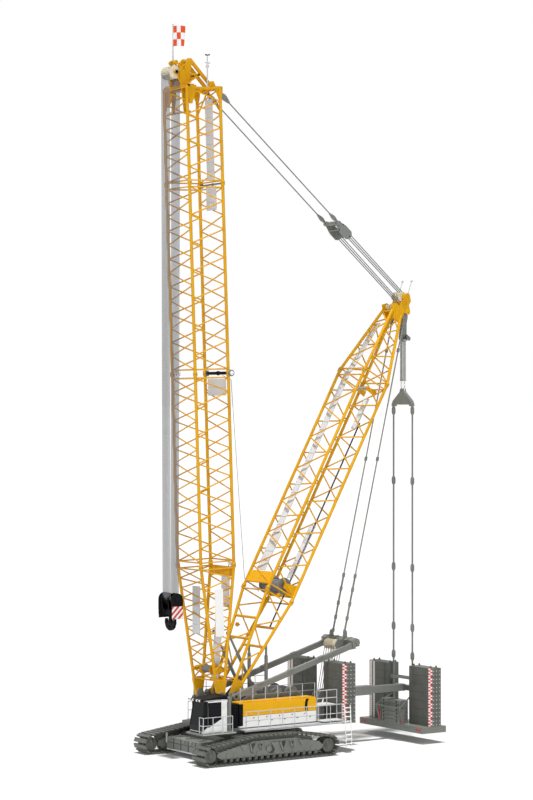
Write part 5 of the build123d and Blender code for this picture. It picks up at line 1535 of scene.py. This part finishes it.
@dataclass
class Stacks:
    """Warning strips, marks and fittings on the ballast stacks."""

    rear: tuple[float, float, float, float, float, float] = (-7.04, -6.14, 1.0, 3.28, 1.94, 0.533)
    tray: tuple[float, float, float, float, float, float] = (-13.94, -13.04, 1.16, 3.43, 1.12, 0.55)
    count: int = 7
    rows: int = 5
    cut: float = 0.20

    def build(self) -> None:
        """Dress the rear and the tray stacks on both sides."""
        for label, sizes, body in (("rear", self.rear, Body.UPPER), ("tray", self.tray, Body.LOAD)):
            for side, hand in ((1, "left"), (-1, "right")):
                self.strip(f"warning_strip_{label}_{hand}", sizes, side, body)
                self.marks(f"slab_marks_{label}_{hand}", sizes, side, body)
        self.tray_middle()

    def strip(self, name: str, sizes: Sequence[float], side: int, body: Body) -> None:
        """Build one strip of small red and white squares on the cut corner.

        Args:
            name: the piece's name.
            sizes: the stack's x, x, y, y, foot and slab height.
            side: 1 on the left, -1 on the right.
            body: the body that it rides on.
        """
        _, x1, _, y1, z0, h = sizes
        shape = Shape(RED, FOIL)
        a, b = Vector((x1 - self.cut, side * y1, 0)), Vector((x1, side * (y1 - self.cut), 0))
        out = Vector((0.7071, side * 0.7071, 0)) * 0.008
        deep = (h - 0.03) / self.rows
        for k, row, col in ((k, row, col) for k in range(self.count) for row in range(self.rows) for col in range(2)):
            low = z0 + k * h + 0.015 + row * deep
            p, q = a.lerp(b, 0.04 + 0.46 * col), a.lerp(b, 0.04 + 0.46 * (col + 1))
            ring = [v + Vector((0, 0, z)) + out * 0.1 for v, z in ((p, low), (q, low), (q, low + deep),
                (p, low + deep))]
            shape.prism(ring, out, (row + col) % 2)
        shape.finish(name, body, Edge.FLAT)

    def marks(self, name: str, sizes: Sequence[float], side: int, body: Body) -> None:
        """Build the sockets, seams, dots and posts of one stack.

        Args:
            name: the piece's name.
            sizes: the stack's x, x, y, y, foot and slab height.
            side: 1 on the left, -1 on the right.
            body: the body that it rides on.
        """
        x0, x1, y0, y1, z0, h = sizes
        shape = Shape(RED, BALLAST, FOIL, SEAM)
        for k in range(self.count):
            z = z0 + k * h
            for y in (y0 + 0.14, (y0 + y1) / 2, y1 - 0.34):
                shape.tube((x1 - 0.01, side * y, z + 0.06), (x1 + 0.015, side * y, z + 0.06), 0.024, 10, 0)
            for x in (x0 + 0.10, (x0 + x1) / 2 - 0.08, x1 - 0.28):
                for e in (0.10, 0.36):
                    shape.tube((x, side * (y1 - 0.01), z + e), (x, side * (y1 + 0.015), z + e), 0.026, 8, 2)
            if k:
                shape.box((x1 - 0.01, side * (y0 + 0.01), z - 0.012), (x1 + 0.004, side * (y1 - self.cut), z + 0.012),
                    3)
                shape.box((x0 + 0.01, side * (y1 - 0.01), z - 0.012), (x1 - self.cut, side * (y1 + 0.006), z + 0.012),
                    3)
        for y in (y0 + 0.35, y1 - 0.60):
            shape.box((x1 - 0.005, side * y, z0 + 0.03), (x1 + 0.035, side * (y + 0.07), z0 + self.count * h - 0.04),
                1)
        if side < 0:
            shape.box((x1 - 0.005, -y1 + self.cut, z0 + 0.02), (x1 + 0.012, -y1 + self.cut + 0.60,
                z0 + self.count * h - 0.02), 2)
            for k in range(4 * self.count):
                z = z0 + (k + 0.25) * h / 4
                shape.box((x1 + 0.01, -y1 + self.cut, z), (x1 + 0.018, -y1 + self.cut + 0.08, z + h / 8), 0)
        shape.finish(name, body, Edge.FLAT)

    def tray_middle(self) -> None:
        """Build the slabs, the bar and the marks in the middle of the tray."""
        shape = Shape(GREY, RED, GREY_LIGHT, BLACK)
        for k in range(6):
            z = 1.12 + 0.26 * k
            shape.box((-13.12, -1.0, z + 0.003), (-12.34, 1.0, z + 0.243), 0, 0.06)
            for y in (-0.7, 0.7):
                shape.tube((-12.36, y, z + 0.13), (-12.31, y, z + 0.13), 0.05, 12, 3)
        shape.finish("centre_slabs", Body.LOAD, Edge.FLAT, ("centre_ballast",), bevel=0.01)
        marks = Shape(RED, GREY_LIGHT)
        for y in (-1.22, 1.20):
            marks.box((-12.37, y - 0.07, 1.25), (-12.33, y + 0.07, 1.95), 0)
            marks.box((-12.55, y - 0.10, 1.12), (-12.37, y + 0.10, 2.05), 1)
        for y in (-3.2, -2.9, 2.9, 3.2):
            marks.lathe((-12.37, y, 0.92), (-12.33, y, 0.92), ((0, 0.02), (0, 0.09), (0.03, 0.09), (0.04, 0.02)), 16,
                0)
        marks.finish("tray_marks", Body.LOAD, Edge.FLAT)


@dataclass
class House:
    """Panels, doors, louvres, winches and walkways of the superstructure."""

    x: Flat = (-4.30, 1.60)
    y: Flat = (1.62, 2.75)
    z: Flat = (2.08, 3.62)
    split: float = 2.78
    doors: int = 6
    sweep: Outline = ((-3.66, 2.83), (-3.46, 2.83), (-3.40, 3.10), (-3.42, 3.34), (-3.50, 3.58), (-3.72, 3.58),
        (-3.62, 3.34), (-3.60, 3.10))
    winch_plate: Outline = ((0.90, 2.7506), (0.90, 3.30), (0.10, 3.72), (-0.30, 4.12), (-0.62, 4.12), (-0.90, 3.86),
        (-4.20, 3.86), (-4.30, 3.70), (-4.30, 2.7506))
    drums: tuple[Flat, ...] = ((-0.45, 0.60), (-2.45, 0.95), (-3.60, 0.95))
    drum_z: float = 3.70
    rail_y: float = 3.38
    a_frame: tuple[float, float, float, float] = (1.15, 3.90, -8.20, 6.66)

    def build(self) -> None:
        """Build the housings and what stands round them."""
        for side, hand in ((1, "left"), (-1, "right")):
            self.housing(side, hand)
        self.grille()
        self.winches()
        self.railings()
        self.ladder()
        self.rear_gear()
        self.a_frame_beams()

    def housing(self, side: int, hand: str) -> None:
        """Build one housing: yellow upper panels over white doors.

        Args:
            side: 1 on the left, -1 on the right.
            hand: the side's word in the piece's name.
        """
        x0, x1 = self.x
        y0, y1 = (side * v for v in self.y)
        lo, hi = min(y0, y1), max(y0, y1)
        shape = Shape(YELLOW_SHEET, WHITE, BLACK, LOUVRE)
        shape.box((x0, lo + 0.01, self.split + 0.02), (x1, hi - 0.01, self.z[1]), 0)
        shape.box((x0, lo + 0.01, self.z[0] + 0.002), (x1, hi - 0.01, self.split), 1)
        shape.box((x0 + 0.02, lo + 0.03, self.split - 0.02), (x1 - 0.02, hi - 0.03, self.split + 0.04), 2)
        step = (x1 - x0) / self.doors
        for a, b in ((x0 + k * step + 0.02, x0 + (k + 1) * step - 0.02) for k in range(self.doors)):
            f0, f1, g0, g1 = (y1 + side * v for v in (-0.015, 0.008, 0.006, 0.03))
            shape.box((a, f0, self.z[0] + 0.04), (b, f1, self.split - 0.03), 1)
            shape.box((a, f0, self.split + 0.05), (b, f1, self.z[1] - 0.04), 0)
            shape.box(((a + b) / 2 - 0.06, g0, 2.40), ((a + b) / 2 + 0.06, g1, 2.44), 2)
            shape.box((b - 0.10, g0, 2.62), (b - 0.04, g1, 2.68), 2)
            shape.box((a + 0.03, lo + 0.10, self.z[1]), (b - 0.03, hi - 0.10, self.z[1] + 0.03), 0)
        f0, f1 = sorted((y1 + side * 0.004, y1 + side * 0.014))
        shape.plate(self.sweep, f0, f1, 2)
        shape.box((1.34, y1 - side * 0.5, 2.19), (1.605, y1 + side * 0.012, 3.57), 3)
        shape.finish(f"housing_panels_{hand}", Body.UPPER, Edge.FLAT, (f"housing_{hand}",), bevel=0.006)

    def grille(self) -> None:
        """Build the black cooler block ahead of the left housing and the grey post before it."""
        shape = Shape(LOUVRE, GREY_LIGHT)
        shape.box((1.66, 2.02, 2.09), (2.18, 2.70, 3.58), 0, 0.04)
        shape.box((2.24, 2.60, 1.84), (2.46, 2.78, 4.02), 1, 0.02)
        shape.box((2.20, 2.56, 1.81), (2.50, 2.80, 1.88), 1)
        shape.finish("cooler_block", Body.UPPER, Edge.FLAT, bevel=0.008)
        slats = [((1.70, 2.73, 2.20 + 0.09 * k), (2.14, 2.73, 2.20 + 0.09 * k)) for k in range(15)]
        slats += [((2.20, 2.10, 2.20 + 0.09 * k), (2.20, 2.66, 2.20 + 0.09 * k)) for k in range(15)]
        bars("cooler_slats", slats, 0.022, BLACK, Body.UPPER, 6)

    def winches(self) -> None:
        """Build the winch drums and their side plates."""
        shape, z = Shape(GREY_LIGHT, SPOOL, GREY), self.drum_z
        shape.both_sides(((1.12, 1.20, self.winch_plate),))
        for x, w in self.drums:
            for side in SIDES:
                y = side * 1.19
                shape.lathe((x, y, z), (x, y + side * 0.03, z), ((0, 0.05), (0, 0.34), (0.03, 0.32), (0.03, 0.05)),
                    28, 2)
                shape.lathe((x, y, z), (x, y + side * 0.09, z), cap(0.09, 0.20, 0.03, 0.14, 0.03), 20, 0)
                shape.lathe((x, side * w - 0.03, z), (x, side * w + 0.03, z), flange(0.53), 32, 0)
            shape.lathe((x, -w, z), (x, w, z), coils(2 * w, round(w / 0.05), 0.42), 28, 1)
            shape.tube((x, -1.12, z), (x, 1.12, z), 0.12, 12, 0)
        shape.finish("winch_drums", Body.UPPER, replaces=("winches",))

    def railings(self) -> None:
        """Build the railings of the gangways, the roofs and round the cab."""
        rails: list[Line] = []
        dark: list[Line] = []
        low, roof, cab = 2.0106, 3.6206, 1.9806
        for side in SIDES:
            for out, rear, foot, posts, height, heights, tubes in ((self.rail_y, -5.90, low, 9, 1.15, (0.56, 1.13),
                    rails), (2.70, -4.22, roof, 7, 0.95, (0.48, 0.93), dark)):
                y = side * out
                for k in range(posts):
                    x = 1.52 - k * (1.52 - rear) / (posts - 1)
                    rails.append(((x, y, foot), (x, y, foot + height)))
                tubes += [((1.52, y, foot + h), (rear, y, foot + h)) for h in heights]
        line = [(4.72, 2.95), (4.72, 3.40), (4.0, 3.40), (3.28, 3.40), (2.55, 3.40)]
        rails += [((x, y, cab), (x, y, cab + 1.02)) for x, y in line]
        for h in (0.50, 1.0):
            rails += [((4.72, 2.95, cab + h), (4.72, 3.40, cab + h)), ((4.72, 3.40, cab + h), (2.55, 3.40, cab + h))]
        bars("railing_tubes", rails, 0.024, GALVANISED, Body.UPPER, 8, ("railings",))
        bars("roof_hand_rails", dark, 0.022, GREY_LIGHT, Body.UPPER, 8)
        kerbs = [((1.58, 3.43, 1.99), (-6.60, 3.43, 1.99)), ((1.58, -3.43, 1.99), (-6.60, -3.43, 1.99)),
            ((2.32, 3.46, 1.93), (4.76, 3.46, 1.93))]
        bars("walkway_kerbs", kerbs, 0.022, GALVANISED, Body.UPPER, 8)

    def ladder(self) -> None:
        """Build the boarding ladder and its brackets."""
        top, foot = (3.445, 3.05), (3.62, 0.36)
        lines: list[Line] = [((x, *top), (x, *foot)) for x in (-6.05, -6.50)]
        for k in range(9):
            t = (k + 0.6) / 9.4
            y, z = top[0] + (foot[0] - top[0]) * t, top[1] + (foot[1] - top[1]) * t
            lines.append(((-6.05, y, z), (-6.50, y, z)))
        lines += [((x, 3.42, 2.0), (x, 3.53, 1.98)) for x in (-6.05, -6.50)]
        bars("ladder_tubes", lines, 0.034, WHITE, Body.UPPER, 10, ("ladder",))

    def rear_gear(self) -> None:
        """Build the deck's side plates, the rear walkways and their rails."""
        shape = Shape(GRATE, GALVANISED, GREY_LIGHT)
        for side in SIDES:
            y0, y1 = sorted((side * 2.30, side * 2.66))  # the pads reach past the left edge of each plate
            shape.box((-3.45, y0, 1.82), (1.25, y1, 1.935), 2)
            for x in (-3.0, -1.6, -0.2, 0.9):
                shape.box((x - 0.12, y0, 1.80), (x + 0.12, y1 + 0.02, 1.83), 2)
        shape.box((-6.05, 2.35, 2.09), (-4.40, 3.38, 2.13), 0)
        shape.box((-6.05, 1.40, 3.0), (-4.36, 2.68, 3.05), 0)
        shape.finish("rear_walkway", Body.UPPER, Edge.FLAT)
        lines: list[Line] = [((x, 2.66, 2.1), (x, 2.66, 4.0)) for x in (-6.0, -5.2, -4.42)]
        lines += [((-6.0, 2.66, z), (-4.42, 2.66, z)) for z in (3.5, 4.0)]
        bars("rear_walkway_rails", lines, 0.03, GALVANISED, Body.UPPER, 8)

    def a_frame_beams(self) -> None:
        """Build the A-frame: its two beams, cross head, stay ears and sheaves."""
        px, pz, ex, ez = self.a_frame
        n = math.hypot(ex - px, ez - pz)
        ux, uz = (ex - px) / n, (ez - pz) / n
        beam = [(px + ux * s - uz * d, pz + uz * s + ux * d)
                for s, d in ((-0.22, -0.10), (-0.22, 0.10), (0.35, 0.17), (n - 0.5, 0.17), (n, 0.26), (n, -0.26),
                        (n - 0.5, -0.17), (0.35, -0.17))]
        shape = Shape(GREY_LIGHT, GREY, NYLON)
        for side in SIDES:
            shape.plate(beam, side * 1.42, side * 1.66)
            shape.lathe((px, side * 1.36, pz), (px, side * 1.72, pz), boss(0.36, 0.19, 0.09), 20)
            for s in (2.0, 4.5, 7.0):
                mx, mz = px + ux * s + 0.17 * uz, pz + uz * s - 0.17 * ux
                shape.strut((mx - 0.2 * ux, mz - 0.2 * uz), (mx + 0.2 * ux, mz + 0.2 * uz), 0.03, side * 1.40,
                    side * 1.68, 1)
        shape.both_sides(((0.72, 0.78, ((-7.80, 6.70), (-8.20, 6.95), (-8.20, 7.50), (-7.94, 7.50))),
            (0.66, 0.72, ((-7.50, 6.30), (-7.30, 6.60), (-7.50, 6.95), (-8.10, 7.05), (-8.30, 6.60), (-8.00, 6.35)))))
        shape.plate(((-8.00, 6.48), (-7.92, 6.95), (-8.20, 7.12), (-8.50, 7.00), (-8.50, 6.58)), -1.74, 1.74)
        for y in (-1.2, -0.3, 0.6, 1.2):
            shape.plate(((-7.94, 6.44), (-7.86, 6.98), (-8.20, 7.16), (-8.54, 7.03), (-8.54, 6.54)), y, y + 0.04, 1)
        shape.tube((-8.35, 1.70, 6.8), (-8.35, 1.80, 6.8), 0.16, 16, 1)
        shape.finish("a_frame_beams", Body.A_FRAME, Edge.FLAT, ("sa_frame",), bevel=0.012)
        sheaves = Shape(NYLON, GREY_LIGHT)
        for k in range(9):
            y = (k - 4) * 0.135
            sheaves.lathe((-7.62, y - 0.055, 6.62), (-7.62, y + 0.055, 6.62), sheave(0.11, 0.34, 0.29, 0.03), 28)
        sheaves.tube((-7.62, -0.74, 6.62), (-7.62, 0.74, 6.62), 0.09, 12, 1)
        sheaves.finish("a_frame_sheaves", Body.A_FRAME)


@dataclass
class Chassis:
    """Seams, rails and lugs on the central ballast, and the plates and bolts of the carbody."""

    end_x: float = 3.66
    ring_radius: float = 1.635
    bolts: int = 36

    def build(self) -> None:
        """Build the central ballast's details and the carbody's fittings."""
        shape = Shape(GREY, SEAM, GALVANISED, GREY_LIGHT)
        for end in SIDES:  # the front and the rear
            face = end * self.end_x
            for y in (-1.70, -0.85, 0.0, 0.85, 1.70):
                shape.box((face, y - 0.03, 0.36), (face + end * 0.03, y + 0.03, 1.10), 1)
            shape.box((face, -2.45, 0.78), (face + end * 0.03, 2.45, 0.82), 1)
            for y in (-2.0, -0.42, 0.42, 2.0):
                a, b = sorted((face, face + end * 0.09))
                shape.plate(((a, 0.90), (b, 0.93), (b, 1.07), (a, 1.10)), y - 0.07, y + 0.07, 3)
            for y in (-1.9, -0.7, 0.7, 1.9):
                shape.box((face - end * 0.9, y - 0.14, 1.13), (face - end * 0.3, y + 0.14, 1.19), 0, 0.04)
                shape.tube((face - end * 0.6, y - 0.10, 1.22), (face - end * 0.6, y + 0.10, 1.22), 0.04, 10, 3)
        for side in SIDES:
            y0, y1 = sorted((side * 2.30, side * 2.66))
            shape.plate(((-3.35, 1.46), (-3.20, 1.70), (-1.15, 1.70), (-1.00, 1.56), (-1.00, 1.30), (-2.60, 1.30)),
                y0, y1)
            for x in (-2.9, -2.2, -1.5):
                shape.tube((x, side * 2.60, 1.60), (x, side * 2.70, 1.60), 0.06, 12, 1)
        shape.box((3.62, -2.62, 0.74), (3.70, -2.50, 1.36), 2)
        shape.box((3.70, -2.4, 0.34), (3.76, 2.4, 0.42), 2)
        for side in SIDES:
            for x in (1.5, -1.5):
                shape.box((x - 0.55, side * 2.2, 1.28), (x + 0.55, side * 2.8, 1.34), 0, 0.08)
                for e in (-0.35, 0.0, 0.35):
                    shape.tube((x + e, side * 2.62, 1.33), (x + e, side * 2.62, 1.40), 0.05, 8, 3)
        shape.finish("chassis_fittings", Body.UNDERCARRIAGE, Edge.FLAT, bevel=0.008)
        turns = [2 * math.pi * k / self.bolts for k in range(self.bolts)]
        ring = [(self.ring_radius * math.cos(t), self.ring_radius * math.sin(t)) for t in turns]
        bars("slewing_ring_bolts", [((x, y, 1.42), (x, y, 1.50)) for x, y in ring], 0.035, GREY_LIGHT,
            Body.UNDERCARRIAGE, 6)


@dataclass
class Cab:
    """Glazing, door, guards and lamps of the driver's cab."""

    side: float = 3.05
    inner_y: float = 1.68
    door_y: Flat = (3.062, 3.112)
    quarter_glass: Outline = ((4.16, 2.36), (4.555, 2.10), (4.555, 2.42), (4.32, 3.93), (4.16, 3.93))
    inner_glass: Outline = ((3.0, 2.80), (4.16, 2.36), (4.555, 2.10), (4.555, 2.42), (4.32, 3.93), (3.0, 3.93))
    front_glass: Outline = ((4.604, 2.12), (4.616, 2.12), (4.618, 2.43), (4.350, 3.94), (4.338, 3.94), (4.604, 2.43))
    drip_rail: Outline = ((3.16, 3.86), (3.16, 3.95), (4.31, 3.95), (4.32, 3.90))
    door_sheet: Outline = ((3.21, 2.06), (4.14, 2.06), (4.14, 2.34), (3.21, 2.82))
    door_glass: Outline = ((3.21, 2.84), (4.14, 2.36), (4.14, 3.86), (3.21, 3.86))
    door_frame: tuple[Outline, ...] = (
        ((3.23, 2.82), (3.23, 3.86)), ((4.12, 2.36), (4.12, 3.86)), ((3.21, 3.84), (4.14, 3.84)),
        ((3.21, 2.83), (4.14, 2.35)))

    def build(self) -> None:
        """Build the cab's pieces."""
        y = self.side
        shape = Shape(GLASS, WHITE, BLACK)
        shape.plate(self.quarter_glass, y + 0.001, y + 0.010, 0)
        shape.plate(self.drip_rail, y + 0.001, y + 0.009, 2)
        shape.plate(self.inner_glass, self.inner_y - 0.010, self.inner_y - 0.001, 0)
        shape.plate(self.front_glass, 1.67, 3.055, 0)
        shape.finish("cab_side_glazing", Body.UPPER, Edge.FLAT)
        door = Shape(WHITE, GLASS, BLACK)
        lo, hi = self.door_y
        door.plate(self.door_sheet, lo, hi - 0.004, 0)
        door.plate(self.door_glass, lo + 0.012, hi - 0.014, 1)
        for a, b in self.door_frame:
            door.strut(a, b, 0.028, lo, hi, 2)
        for z in (2.62, 3.02):
            door.tube((4.02, hi, z), (4.02, hi + 0.05, z), 0.018, 8, 2)
        door.tube((4.02, hi + 0.05, 2.60), (4.02, hi + 0.05, 3.04), 0.018, 8, 2)
        door.finish("cab_door_glazed", Body.DOOR, Edge.FLAT, ("cab_door",))
        trim = Shape(BLACK, LENS, WHITE)
        trim.plate(((4.60, 1.99), (4.63, 1.99), (4.63, 2.06), (4.60, 2.06)), 1.72, 3.01, 0)
        for y in (1.70, 3.00):
            trim.strut((4.60, 2.43), (4.33, 3.95), 0.035, y - 0.02, y + 0.05)
        trim.tube((4.47, 2.2, 2.62), (4.41, 2.75, 3.30), 0.016, 6)
        for y in (1.85, 2.15, 2.60, 2.90):
            trim.lathe((4.62, y, 4.02), (4.72, y, 4.00), ((0, 0.03), (0, 0.06), (0.07, 0.075), (0.10, 0.07),
                (0.10, 0.02)), 16, 1)
            trim.box((4.52, y - 0.05, 4.00), (4.64, y + 0.05, 4.06), 0)
        trim.finish("cab_trim", Body.UPPER, Edge.FLAT)
        mirror = Shape(BLACK, CHROME)
        for z in (3.7, 3.2):
            mirror.tube((4.50, 3.07, z), (4.70, 3.40, z), 0.018, 8)
        mirror.box((4.68, 3.34, 3.12), (4.72, 3.54, 3.78), 0, 0.015)
        mirror.finish("cab_mirror", Body.UPPER)


@dataclass
class Hook:
    """The hook block's guard plates, warning fields and cheeks."""

    x: float = 4.97
    z: float = 10.12
    radius: float = 0.42

    def build(self) -> None:
        """Build the pieces that ride on the hook block."""
        x, z = self.x, self.z
        shape = Shape(BLACK, HAZARD_BLOCK, GREY_LIGHT)
        arc = [(x + self.radius * math.cos(t), z + self.radius * math.sin(t))
            for t in (math.pi * k / 12 for k in range(13))]
        guard = arc + [(x - 0.42, z - 0.55), (x - 0.38, z - 1.16), (x + 0.38, z - 1.16), (x + 0.42, z - 0.55)]
        for side in SIDES:
            y = side * 0.765
            shape.plate(guard, y, y + side * 0.035, 0)
            shape.plate(((x - 0.40, z - 1.18), (x + 0.40, z - 1.18), (x + 0.41, z - 0.40), (x - 0.41, z - 0.40)),
                y + side * 0.030, y + side * 0.045, 1)
            shape.lathe((x, y + side * 0.04, z), (x, y + side * 0.12, z), cap(0.08, 0.16, 0.03, 0.10, 0.03), 20, 0)
        for y in (-0.40, 0.34):
            shape.plate(arc + [(x - 0.40, z - 0.6), (x + 0.40, z - 0.6)], y, y + 0.06, 0)
        shape.finish("hook_block_plates", Body.BLOCK)


def main() -> None:
    """Build the studio, dress the CAD nodes and build every sub-assembly."""
    logging.basicConfig(level=logging.INFO, format="%(name)s: %(message)s")
    Studio().build()
    dress_nodes()
    for part in (Tracks(), Ropes(), Stacks(), House(), Cab(), MainBoom(), DerrickBoom(), Hanger(), Luffing(), Hook(),
            Chassis()):
        part.build()


if __name__ == "__main__":
    main()
